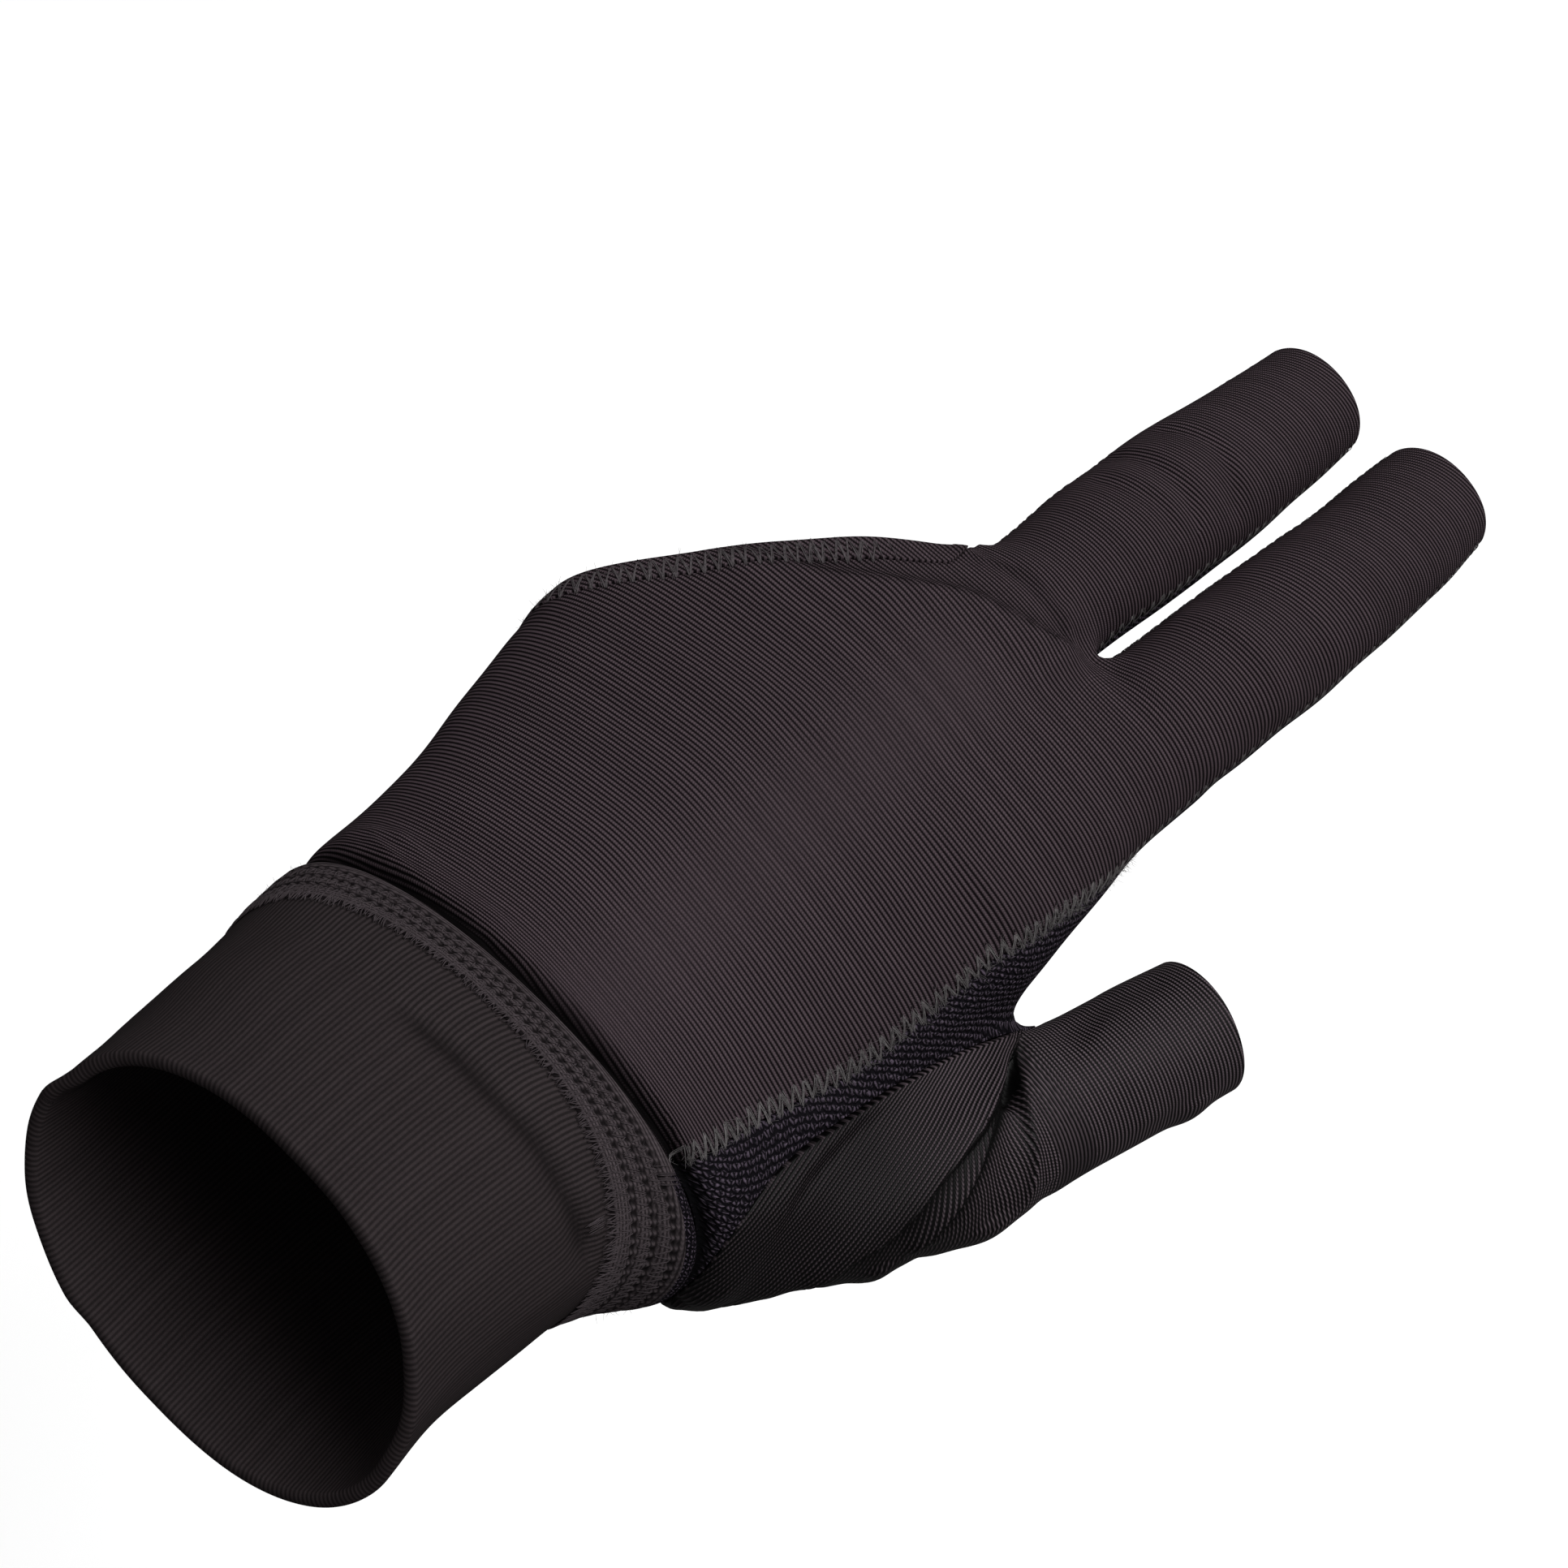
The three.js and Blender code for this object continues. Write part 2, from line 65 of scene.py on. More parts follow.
def print_box(name, low, high):
    print(name, "box in mm:", [round(v / MM, 1) for v in (*low, *high)])


print("packed nodes:", sorted(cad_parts))
print_box("packed", cad_low, cad_high)

# %% [markdown]
# The photograph looks at the back of the hand from above the arm, with the fingers running up to the right.
# A camera can be aimed with a constraint, but a picture that has to match needs its three axes worked out:
# one towards the viewer, one to the right and one up. They go into the camera's matrix as its columns.

# %% Camera at the photograph's angle
LOOK_AT = Vector((52, -3.5, 13)) * MM
TILT_TO_ARM = math.radians(28)
TILT_TO_THUMB = math.radians(8)
FINGERS_RISE = math.radians(43.5)
DISTANCE = 0.43
SENSOR = 36.0
LENS = 81.06

to_viewer = Vector((
    -math.sin(TILT_TO_ARM) * math.cos(TILT_TO_THUMB),
    -math.sin(TILT_TO_THUMB),
    math.cos(TILT_TO_ARM) * math.cos(TILT_TO_THUMB),
))
fingers = Vector((1, 0, 0))
fingers = (fingers - to_viewer * fingers.dot(to_viewer)).normalized()
little = to_viewer.cross(fingers)
right = fingers * math.cos(FINGERS_RISE) - little * math.sin(FINGERS_RISE)
up = fingers * math.sin(FINGERS_RISE) + little * math.cos(FINGERS_RISE)

camera = bpy.data.objects.new("camera", bpy.data.cameras.new("camera"))
bpy.context.scene.collection.objects.link(camera)
turn = Matrix((right, up, to_viewer)).transposed().to_4x4()
camera.matrix_world = Matrix.Translation(LOOK_AT + to_viewer * DISTANCE) @ turn
camera.data.lens = LENS
camera.data.sensor_width = SENSOR
camera.data.clip_start = 0.01
bpy.context.scene.camera = camera
print("camera at", [round(v, 3) for v in camera.location])

# %% [markdown]
# A worn glove has no flat pattern left in it: it is the shape of the hand. So the form is described as
# limbs. Each limb is a short table of sections, as a tailor would take measures round a finger every
# centimetre or two. The columns are the section's centre x, y, z, half its width, its height towards the
# back and towards the palm, and how square it is (2 is an ellipse). Smooth curves through the rows fill in
# what lies between.

# %% Measures of the worn hand, in millimetres
hand_rows = [
    (-60, -0.5, 24.0, 28.0, 21.0, 21.0, 2.2),
    (-48, -1.3, 19.0, 27.8, 21.0, 21.0, 2.2),
    (-34, -0.2, 13.6, 27.7, 20.5, 20.5, 2.2),
    (-20, 0.2, 7.6, 28.6, 20.0, 20.5, 2.2),
    (-6, 0.1, 2.2, 30.3, 20.0, 21.2, 2.2),
    (8, -3.4, -0.5, 34.8, 19.0, 21.6, 2.2),
    (24, -1.9, -1.0, 33.8, 18.0, 21.0, 2.4),
    (42, -1.3, -0.6, 36.3, 16.0, 19.0, 2.4),
    (60, -1.6, 0.0, 38.4, 14.6, 16.8, 2.5),
    (78, -1.1, 0.0, 37.8, 13.8, 14.5, 2.5),
    (92, -0.4, -0.6, 36.4, 12.0, 12.5, 2.4),
    (98.5, -1.4, -1.2, 35.0, 7.5, 8.0, 2.2),
]
index_rows = [
    (62, -26.0, 0.0, 11.8, 12.0, 12.0, 2),
    (84, -27.5, 0.5, 10.2, 10.0, 10.0, 2),
    (104, -30.1, 0.0, 10.5, 10.3, 10.3, 2),
    (122, -32.0, -0.8, 10.5, 10.2, 10.2, 2),
    (138, -33.7, -1.8, 10.0, 9.8, 9.8, 2),
    (152, -34.6, -3.0, 9.5, 9.3, 9.3, 2),
    (164, -35.0, -4.2, 8.9, 8.7, 8.7, 2),
    (176, -36.1, -5.6, 8.1, 8.0, 8.0, 2),
]
middle_rows = [
    (62, -5.5, 0.6, 11.8, 12.0, 12.0, 2),
    (84, -6.9, 1.0, 10.8, 10.6, 10.6, 2),
    (104, -7.6, 0.6, 9.9, 9.7, 9.7, 2),
    (120, -9.0, 0.0, 10.4, 10.2, 10.2, 2),
    (136, -10.7, -1.0, 10.3, 10.1, 10.1, 2),
    (150, -12.2, -2.2, 9.4, 9.2, 9.2, 2),
    (162, -13.0, -3.4, 8.8, 8.6, 8.6, 2),
    (176, -14.6, -5.0, 8.2, 8.0, 8.0, 2),
]
thumb_rows = [
    (-4, -17.5, -6.0, 13.0, 13.0, 13.0, 2),
    (12, -25.3, -9.2, 15.2, 14.9, 14.9, 2),
    (28, -36.0, -11.9, 15.2, 14.9, 14.9, 2),
    (44, -46.1, -14.8, 12.9, 12.7, 12.7, 2),
    (58, -52.2, -16.0, 10.2, 10.0, 10.0, 2),
    (72, -56.7, -16.5, 9.7, 9.5, 9.5, 2),
    (86, -60.9, -17.0, 9.4, 9.2, 9.2, 2),
    (100, -65.1, -17.4, 9.2, 9.0, 9.0, 2),
]


STATION_STEPS, LINE_STEPS = 10, 8  # steps between two rows of a limb, and between two places of a fold


def smooth_rows(rows, steps):
    """Rows of a table with a smooth curve through them, steps to each span."""
    rows = np.array(rows, float)
    padded = np.vstack([2 * rows[0] - rows[1], rows, 2 * rows[-1] - rows[-2]])
    t = (np.arange(steps) / steps)[:, None]
    spans = []
    for a, b, c, d in zip(padded, padded[1:], padded[2:], padded[3:]):
        spans.append(b + 0.5 * t * (c - a + t * (2 * a - 5 * b + 4 * c - d + t * (3 * (b - c) + d - a))))
    return np.vstack([*spans, rows[-1:]])


def unit(vectors):
    return vectors / np.maximum(np.linalg.norm(vectors, axis=-1, keepdims=True), 1e-9)


def limb(rows, square=False):
    """Stations of a limb: centre, direction along it, sideways, upwards, and the section's four sizes.
    The sections of a square limb don't turn sideways where its centre does."""
    fine = smooth_rows(rows, STATION_STEPS)
    centre = fine[:, :3]
    along = unit(np.gradient(centre, axis=0) * (1, 0 if square else 1, 1))
    side = unit(np.array([0.0, 1.0, 0.0]) - along * along[:, 1:2])
    return np.hstack([centre, along, side, np.cross(along, side), fine[:, 3:]])


hand, index = limb(hand_rows, square=True), limb(index_rows)
middle, thumb = limb(middle_rows), limb(thumb_rows)
limbs = {"hand": hand, "index": index, "middle": middle, "thumb": thumb}
print("stations:", {name: len(table) for name, table in limbs.items()})

# %% [markdown]
# To make one skin out of four limbs, each limb tells every point in space how far it is outside or inside.
# This is called a distance field. Two fields join with a plain minimum, which leaves a hard crease like a
# bad boolean, or with a smooth minimum, which leaves the soft web that stretched cloth makes between
# fingers.

# %% How far a point is from the worn form
def rows_at(table, station):
    """A table's rows at stations that lie between its rows, and the row below each station."""
    low = np.minimum(station.astype(int), len(table) - 2)
    part = (station - low)[..., None]
    return table[low] * (1 - part) + table[low + 1] * part, low


def on_limb(table, points):
    """For each point, the limb's row nearest to it, and its offset from that row's centre."""
    station = np.interp(points[:, 0], table[:, 0], np.arange(len(table)))
    for _ in range(4):
        row, low = rows_at(table, station)
        off = points - row[:, :3]
        pace = np.linalg.norm(table[low + 1, :3] - table[low, :3], axis=1)
        station = np.clip(station + (off * row[:, 3:6]).sum(1) / pace, 0, len(table) - 1)
    return row, off


def section_place(row, off):
    """Sideways and upward offset in the section, and both as shares of its size."""
    across = (off * row[:, 6:9]).sum(1)
    rise = (off * row[:, 9:12]).sum(1)
    high = np.where(rise > 0, row[:, 13], row[:, 14])
    return across, rise, across / row[:, 12], rise / high


def limb_field(table, points):
    row, off = on_limb(table, points)
    across, rise, a, b = section_place(row, off)
    power = row[:, 15]
    share = (np.abs(a) ** power + np.abs(b) ** power) ** (1 / power)
    radius = np.hypot(across, rise)
    inside = -np.minimum(row[:, 12], row[:, 13])
    field = np.maximum(radius * (1 - 1 / np.maximum(share, 1e-6)), inside)
    past_tip = ((points - table[-1, :3]) * table[-1, 3:6]).sum(1)
    before_root = ((table[0, :3] - points) * table[0, 3:6]).sum(1)
    end = np.maximum(past_tip, before_root)
    return np.minimum(np.maximum(field, end), 0) + np.hypot(np.maximum(field, 0), np.maximum(end, 0))


def soft_union(a, b, softness):
    mix = np.clip(0.5 + 0.5 * (b - a) / softness, 0, 1)
    return b * (1 - mix) + a * mix - softness * mix * (1 - mix)


def ramp(values, start, width):
    """0 before the start, 1 past the width, and evenly between."""
    return np.clip((values - start) / width, 0, 1)


def eased(share):
    """A share from 0 to 1 with a soft start and a soft stop."""
    return share ** 2 * (3 - 2 * share)


FINGER_WEB, KNUCKLE_WEB = 1.6, 7.0
THUMB_WEB_PLACES, THUMB_WEBS = (42, 56), (8.0, 12.0)
GATHERED_FROM, GATHERED_OVER = 0.0, 6.0
AT_ONCE = 60000


def worn_form(points):
    """Millimetres outside (plus) or inside (minus) the worn form, which the band gathers to the arm."""
    found = np.empty(len(points))
    for start in range(0, len(points), AT_ONCE):
        some = points[start:start + AT_ONCE]
        arm = limb_field(hand, some)
        two = soft_union(limb_field(index, some), limb_field(middle, some), FINGER_WEB)
        web = np.interp(some[:, 0], THUMB_WEB_PLACES, THUMB_WEBS)
        whole = soft_union(soft_union(arm, two, KNUCKLE_WEB), limb_field(thumb, some), web)
        free = eased(ramp(some[:, 0], GATHERED_FROM, GATHERED_OVER))
        found[start:start + AT_ONCE] = whole * free + arm * (1 - free)
    return found


print("the palm's middle is %.1f mm inside" % -worn_form(np.array([[50.0, 0, 0]]))[0])

# %% [markdown]
# A field becomes a mesh on a grid: each grid cell that the surface passes through gets one vertex, in the
# middle of the places where the surface crosses the cell's edges, and each crossed edge gets one quad. The
# method is called surface nets. A voxel remesh does nearly the same, but it can't follow a formula exactly.
# Afterwards the vertices are evened out with their neighbours and slid back on to the true surface.

# %% Skin the form with quads
CELL = 0.8
GRID_LOW = np.array([-12.0, -75, -32])
GRID_HIGH = np.array([168.0, 42, 24])
ROUGH = 4  # the rough grid has every fourth point
CORNERS = np.array([(i, j, k) for i in (0, 1) for j in (0, 1) for k in (0, 1)])


def grid_values(cell):
    """The form's field on a grid, worked out fully only near the surface."""
    counts = np.ceil((GRID_HIGH - GRID_LOW) / (ROUGH * cell)).astype(int) * ROUGH + 1
    rough_axes = [(GRID_LOW[a] + cell * np.arange(counts[a]))[::ROUGH] for a in range(3)]
    values = worn_form(np.stack(np.meshgrid(*rough_axes, indexing="ij"), -1).reshape(-1, 3))
    values = values.reshape([len(a) for a in rough_axes])
    for axis in range(3):
        values = np.repeat(values, ROUGH, axis)
    values = values[:counts[0], :counts[1], :counts[2]].copy()
    close = np.argwhere(np.abs(values) < 2 * ROUGH * cell)
    values[tuple(close.T)] = worn_form(GRID_LOW + close * cell)
    return values


def surface_net(values, cell):
    inside = values < 0
    n = np.array(values.shape) - 1
    count = sum(inside[i:n[0] + i, j:n[1] + j, k:n[2] + k].astype(int) for i, j, k in CORNERS)
    cells = np.argwhere((count > 0) & (count < 8))
    number = np.full(n, -1)
    number[tuple(cells.T)] = np.arange(len(cells))
    corner = values[tuple((cells[:, None, :] + CORNERS[None]).reshape(-1, 3).T)].reshape(-1, 8)
    total = np.zeros((len(cells), 3))
    crossings = np.zeros(len(cells))
    for a in range(8):
        for b in range(a + 1, 8):
            if np.abs(CORNERS[a] - CORNERS[b]).sum() != 1:
                continue
            crossed = (corner[:, a] < 0) != (corner[:, b] < 0)
            share = corner[crossed, a] / (corner[crossed, a] - corner[crossed, b])
            total[crossed] += CORNERS[a] + share[:, None] * (CORNERS[b] - CORNERS[a])
            crossings[crossed] += 1
    places = GRID_LOW + cell * (cells + total / crossings[:, None])
    quads = []
    for axis in range(3):
        one, two = (axis + 1) % 3, (axis + 2) % 3
        first = np.take(inside, np.arange(n[axis]), axis)
        second = np.take(inside, np.arange(1, n[axis] + 1), axis)
        for outward in (True, False):
            at = np.argwhere(first & ~second if outward else ~first & second)
            at = at[(at[:, one] > 0) & (at[:, two] > 0) & (at[:, one] < n[one]) & (at[:, two] < n[two])]
            ring = []
            for back_one, back_two in ((1, 1), (0, 1), (0, 0), (1, 0)):
                near = at.copy()
                near[:, one] -= back_one
                near[:, two] -= back_two
                ring.append(number[tuple(near.T)])
            quads.append(np.stack(ring if outward else ring[::-1], 1))
    return places, np.vstack(quads)


SLOPE_STEP, LEAST_SLOPE = 0.05, 0.05


def steepest(points):
    """The field and its slope at each point."""
    here = worn_form(points)
    slope = np.stack([worn_form(points + SLOPE_STEP * axis) - here for axis in np.eye(3)], 1) / SLOPE_STEP
    return here, slope


def form_normals(points):
    return unit(steepest(points)[1])


def onto_form(points):
    """Points moved along the slope until the field is about zero."""
    here, slope = steepest(points)
    return points - slope * (here / np.maximum((slope ** 2).sum(1), LEAST_SLOPE))[:, None]


def evened(points, faces):
    """Each point moved half way to the middle of its neighbours."""
    total, count = np.zeros_like(points), np.zeros(len(points))
    for a in range(faces.shape[1]):
        b = (a + 1) % faces.shape[1]
        for one, two in ((a, b), (b, a)):
            np.add.at(total, faces[:, one], points[faces[:, two]])
            np.add.at(count, faces[:, one], 1)
    return 0.5 * points + 0.5 * total / np.maximum(count, 1)[:, None]


skin_points, skin_quads = surface_net(grid_values(CELL), CELL)
for _ in range(2):
    skin_points = onto_form(evened(skin_points, skin_quads))
skin_points = onto_form(skin_points)
off_form = np.abs(worn_form(skin_points)).max()
print("skin: %d quads, %.3f mm off the form at most" % (len(skin_quads), off_form))

# %% [markdown]
# The panels of the real glove meet at seams, so the one skin is cut along the same lines. A boolean with a
# curved blade would do, but a rule is simpler: each seam is a number that is plus on one side and minus on
# the other, and the mesh is cut where that number is zero. Corners that lie almost on the line are moved on
# to it first, because a cut that leaves thin slivers makes dark specks in smooth shading.

# %% Seam lines
side_seam = smooth_rows([
    # x, height on the thumb side, height on the little finger's side
    (-10, 17.5, -3), (4, 17, -4), (11, 15.4, -4), (17, 13.4, -4), (24, 10.7, -4), (32, 8.2, -4),
    (40, 7.4, -4), (48, 7.4, -4), (57, 7.9, -4), (63, 7.4, -4), (71, 5.6, -3.3), (80, 2.2, -1.6),
    (88, 0.4, 0), (104, 0, 0.6), (122, -0.8, 0), (140, -2, -1.4), (164, -4.2, -3.6), (180, -6, -5.4),
], 6)
gusset_seam = smooth_rows([
    # x, y, at the height of the back of the thumb
    (-4, -40), (2, -38.6), (9.6, -36.6), (16, -35.8), (23, -36.1), (30, -37.5), (36.5, -38.9),
    (43.6, -40.7), (52, -43.4), (61, -46.6), (74, -50),
], 6)
opening_edge = smooth_rows([
    # y, x, from the web beside the middle finger to the outer edge of the hand
    (-10, 107.5), (1.6, 95.5), (7.6, 88.5), (13.2, 82), (19.6, 73.5), (26, 65), (32, 58.2), (37, 53.5),
    (43, 49),
], 6)
wrist_edges = {
    # x of the section that each edge reaches: back, thumb side, palm, little finger's side
    "cuff end": (-38.5, -44.5, -44.5, -40.5),
    "band start": (-3.4, -9.6, -7.6, -6.8),
    "band end": (4.4, 1.8, 0.8, 3.6),
}
GUSSET_LEAN, GUSSET_TOP = 0.16, 7.0
OPENING_LEAN, OPENING_FROM = 0.3, 2.8
HEM_WIDTH = 3.6
THUMB_SIDE, HAND_WIDTH = -38, 74
MESH_EDGE = 2.0  # the mesh comes up this far on the middle finger's side towards the index finger
MESH_EDGE_X, MESH_EDGE_LENGTH = 122, 18
MESH_EDGE_Y, MESH_EDGE_WIDTH = -17.5, 5
STALL_ENDS = {"index": 162.5, "middle": 161.0, "thumb": 82.5}


def above_side_seam(p):
    thumb_side = np.interp(p[:, 0], side_seam[:, 0], side_seam[:, 1])
    little_side = np.interp(p[:, 0], side_seam[:, 0], side_seam[:, 2])
    share = ramp(p[:, 1], THUMB_SIDE, HAND_WIDTH)
    along_fingers = np.exp(-((p[:, 0] - MESH_EDGE_X) / MESH_EDGE_LENGTH) ** 4)
    between_fingers = along_fingers * np.clip(1 - np.abs(p[:, 1] - MESH_EDGE_Y) / MESH_EDGE_WIDTH, 0, 1)
    return p[:, 2] - thumb_side * (1 - share) - little_side * share - MESH_EDGE * between_fingers


def in_gusset(p):
    edge = np.interp(p[:, 0], gusset_seam[:, 0], gusset_seam[:, 1])
    return edge + GUSSET_LEAN * (GUSSET_TOP - p[:, 2]) - p[:, 1]


def past_opening(p):
    """Millimetres beyond the edge of the side opening, as seen from above."""
    edge = np.interp(p[:, 1], opening_edge[:, 0], opening_edge[:, 1])
    ahead = np.interp(p[:, 1] + 1, opening_edge[:, 0], opening_edge[:, 1])
    return (p[:, 0] - OPENING_LEAN * p[:, 2] - edge) / np.hypot(1, ahead - edge)


def edge_round_wrist(name, angle):
    back, thumb_side, palm, little_side = wrist_edges[name]
    even = (back + thumb_side + palm + little_side) / 4
    oval = (little_side + thumb_side - back - palm) / 4
    return (even + (little_side - thumb_side) / 2 * np.cos(angle) + (back - palm) / 2 * np.sin(angle)
            + oval * np.cos(2 * angle))


def signed_power(values, power):
    return np.sign(values) * np.abs(values) ** power


def angle_round(table, p):
    """Each point's angle round the section of a limb, and the limb's row nearest to it."""
    row, off = on_limb(table, p)
    _, _, a, b = section_place(row, off)
    half_power = row[:, 15] / 2
    return np.arctan2(signed_power(b, half_power), signed_power(a, half_power)), row


def past_band(p):
    angle, row = angle_round(hand, p)
    return row[:, 0] - edge_round_wrist("band end", angle)


FAR_FROM_ENDS = 10.0


def before_stall_ends(p):
    """Millimetres of cloth left before the cut end of a stall; large away from the stalls."""
    nearest = np.stack([limb_field(table, p) for table in limbs.values()]).argmin(0)
    left = np.full(len(p), FAR_FROM_ENDS)
    for name, end in STALL_ENDS.items():
        row = limbs[name][np.abs(limbs[name][:, 0] - end).argmin()]
        centre = row[:3] + row[3:6] * (end - row[0])
        there = nearest == list(limbs).index(name)
        left[there] = -((p[there] - centre) * row[3:6]).sum(1)
    return left


# %% Cut a mesh of triangles where a value is zero
SNAP = 0.28
NO_AREA, SPECK = 1e-4, 60  # square millimetres, triangles


def sides_of(faces):
    """The sides of each triangle in its own direction: 3 x triangles x 2."""
    return np.stack([faces[:, [0, 1]], faces[:, [1, 2]], faces[:, [2, 0]]])


def edges_of(faces):
    return np.unique(np.sort(sides_of(faces).reshape(-1, 2), 1), axis=0)


def cut(points, faces, rule):
    """The part of the mesh where rule(points) is plus."""
    value = rule(points)
    edges = edges_of(faces)
    one, two = edges[:, 0], edges[:, 1]
    crossed = value[one] * value[two] < 0
    one, two = one[crossed], two[crossed]
    share = value[one] / (value[one] - value[two])
    place = points[one] + share[:, None] * (points[two] - points[one])
    owner = np.concatenate([one[share < SNAP], two[share > 1 - SNAP]])
    target = np.concatenate([place[share < SNAP], place[share > 1 - SNAP]])
    order = np.argsort(-np.abs(value[owner]))
    points = points.copy()
    points[owner[order]] = target[order]
    value[owner] = 0
    sign = np.sign(value[faces])
    kept = [faces[(sign.min(1) >= 0) & (sign.max(1) > 0)]]
    mixed = faces[(sign.min(1) < 0) & (sign.max(1) > 0)]
    made, made_points = {}, []

    def between(a, b):
        key = (a, b) if a < b else (b, a)
        if key not in made:
            t = value[a] / (value[a] - value[b])
            made[key] = len(points) + len(made_points)
            made_points.append(points[a] + t * (points[b] - points[a]))
        return made[key]

    small = []
    for face in mixed.tolist():
        ring = []
        for a, b in zip(face, face[1:] + face[:1]):
            if value[a] >= 0:
                ring.append(a)
            if value[a] * value[b] < 0:
                ring.append(between(a, b))
        small.extend([ring[0], ring[i], ring[i + 1]] for i in range(1, len(ring) - 1))
    if small:
        kept.append(np.array(small))
    if made_points:
        points = np.vstack([points, made_points])
    return tidy(points, np.vstack(kept))


def tidy(points, faces):
    """Without unused points, faces of no size, and specks that hang loose."""
    a, b, c = (points[faces[:, i]] for i in range(3))
    faces = faces[np.linalg.norm(np.cross(b - a, c - a), axis=1) > NO_AREA]
    label = np.arange(len(points))
    while True:
        lowest = label[faces].min(1)
        before = label.copy()
        np.minimum.at(label, faces.ravel(), np.repeat(lowest, 3))
        label = label[label]
        if (label == before).all():
            break
    size = np.bincount(label[faces[:, 0]], minlength=len(points))
    faces = faces[size[label[faces[:, 0]]] > SPECK]
    used, faces = np.unique(faces, return_inverse=True)
    return points[used], faces.reshape(-1, 3)


skin_faces = np.vstack([skin_quads[:, [0, 1, 2]], skin_quads[:, [0, 2, 3]]])
EDGE_ROOM = 0.16
HEM_END_GAP = 0.2
worn = cut(skin_points, skin_faces, lambda p: past_band(p) - EDGE_ROOM)
worn = cut(*worn, lambda p: before_stall_ends(p) - EDGE_ROOM)
print("whole hand: %d triangles" % len(worn[1]))
in_hem = cut(*worn, lambda p: np.minimum(past_opening(p) + HEM_WIDTH - EDGE_ROOM, p[:, 1] - OPENING_FROM))
hem = cut(*in_hem, lambda p: -past_opening(p) - EDGE_ROOM)
panels = cut(*worn, lambda p: -np.minimum(
    past_opening(p) + HEM_WIDTH + EDGE_ROOM, p[:, 1] - OPENING_FROM + HEM_END_GAP))
stall = cut(*panels, lambda p: in_gusset(p) - EDGE_ROOM)
rest = cut(*panels, lambda p: -in_gusset(p) - EDGE_ROOM)
back = cut(*rest, lambda p: above_side_seam(p) - EDGE_ROOM)
palm = cut(*rest, lambda p: -above_side_seam(p) - EDGE_ROOM)
for name, piece in (("hem", hem), ("thumb", stall), ("back", back), ("palm", palm)):
    print("%s: %d triangles" % (name, len(piece[1])))

# %% [markdown]
# Sharp folds and scalloped edges need smaller triangles than smooth cloth does. Subdividing everything
# would make the file heavy, so only the triangles near such a place are split, each edge once at its
# middle.

# %% Split the triangles near a place
def split(piece, chosen):
    """The piece with the edges of its chosen faces halved; the faces beside them are split to fit."""
    points, faces = piece
    edges = edges_of(faces)

    def code(pairs):
        return pairs[..., 0] * len(points) + pairs[..., 1]

    number = np.searchsorted(code(edges), code(np.sort(sides_of(faces), 2)))
    halved = np.zeros(len(edges), bool)
    halved[number[:, chosen(points[faces].mean(1))]] = True
    middle = np.full(len(edges), -1)
    middle[halved] = len(points) + np.arange(halved.sum())
    new_points = np.vstack([points, onto_form(points[edges[halved]].mean(1))])
    ab, bc, ca = middle[number]
    count = (middle[number] >= 0).sum(0)
    a, b, c = faces.T
    parts = [faces[count == 0]]
    in_four = (a, ab, ca), (ab, b, bc), (ca, bc, c), (ab, bc, ca)
    parts += [np.stack(three, 1)[count == 3] for three in in_four]
    for _ in range(3):
        one, two = (count == 1) & (ab >= 0), (count == 2) & (ca < 0)
        parts += [np.stack(three, 1)[one] for three in ((a, ab, c), (ab, b, c))]
        parts += [np.stack(three, 1)[two] for three in ((ab, b, bc), (a, ab, bc), (a, bc, c))]
        a, b, c, ab, bc, ca = b, c, a, bc, ca, ab
    return new_points, np.vstack(parts)


def near_line(line, reach):
    line = smooth_rows(line, LINE_STEPS // 2)
    return lambda p: np.linalg.norm(p[:, None] - line, axis=2).min(1) < reach


# %% [markdown]
# Stretched cloth still folds where the hand bends: at the wrist, in the crotch of the thumb and over the
# finger joints. Sculpting would do, but each fold here is a line on the surface with a height and a width
# to each side, so that it can be measured from the photograph and changed later. A fold with a narrow side
# is a tuck that hangs over the cloth beyond it. The left side is the one on the left of a walker who goes
# along the line.

# %% Folds of the hand, in millimetres
WRIST_BULGE = [(6, 33, 2), (9.3, 25.9, 11.5), (8.3, 16.6, 16.6), (8.6, 6.8, 18.5), (9.3, -2.8, 18.5),
               (9, -12.4, 17.5), (8.2, -20.1, 15.3), (6.6, -26.3, 11.7), (4.5, -31, 3)]
BASE_SWELL = (1.3, 4.5, 4.5, [(-6, -30, -22), (0, -34, -18), (4, -37, -14.5), (9, -40, -11),
                              (16, -44, -10)])
KNUCKLE_RIDGE = [(67, 26, 11.5), (72.9, 19.7, 12.8), (76.8, 13.6, 13.4), (83.8, 5.1, 13.2),
                 (89.4, -2.4, 13.2), (91.9, -9.3, 12.8), (94.4, -14.1, 11.1), (98.2, -18, 7.4)]
FINGER_RIDGE = [(93, 7, 9.5), (97.7, 0, 10), (99.6, -4.7, 10.5), (99.3, -9, 10.7), (99.1, -12, 10.1),
                (98.6, -16.5, 8.5)]
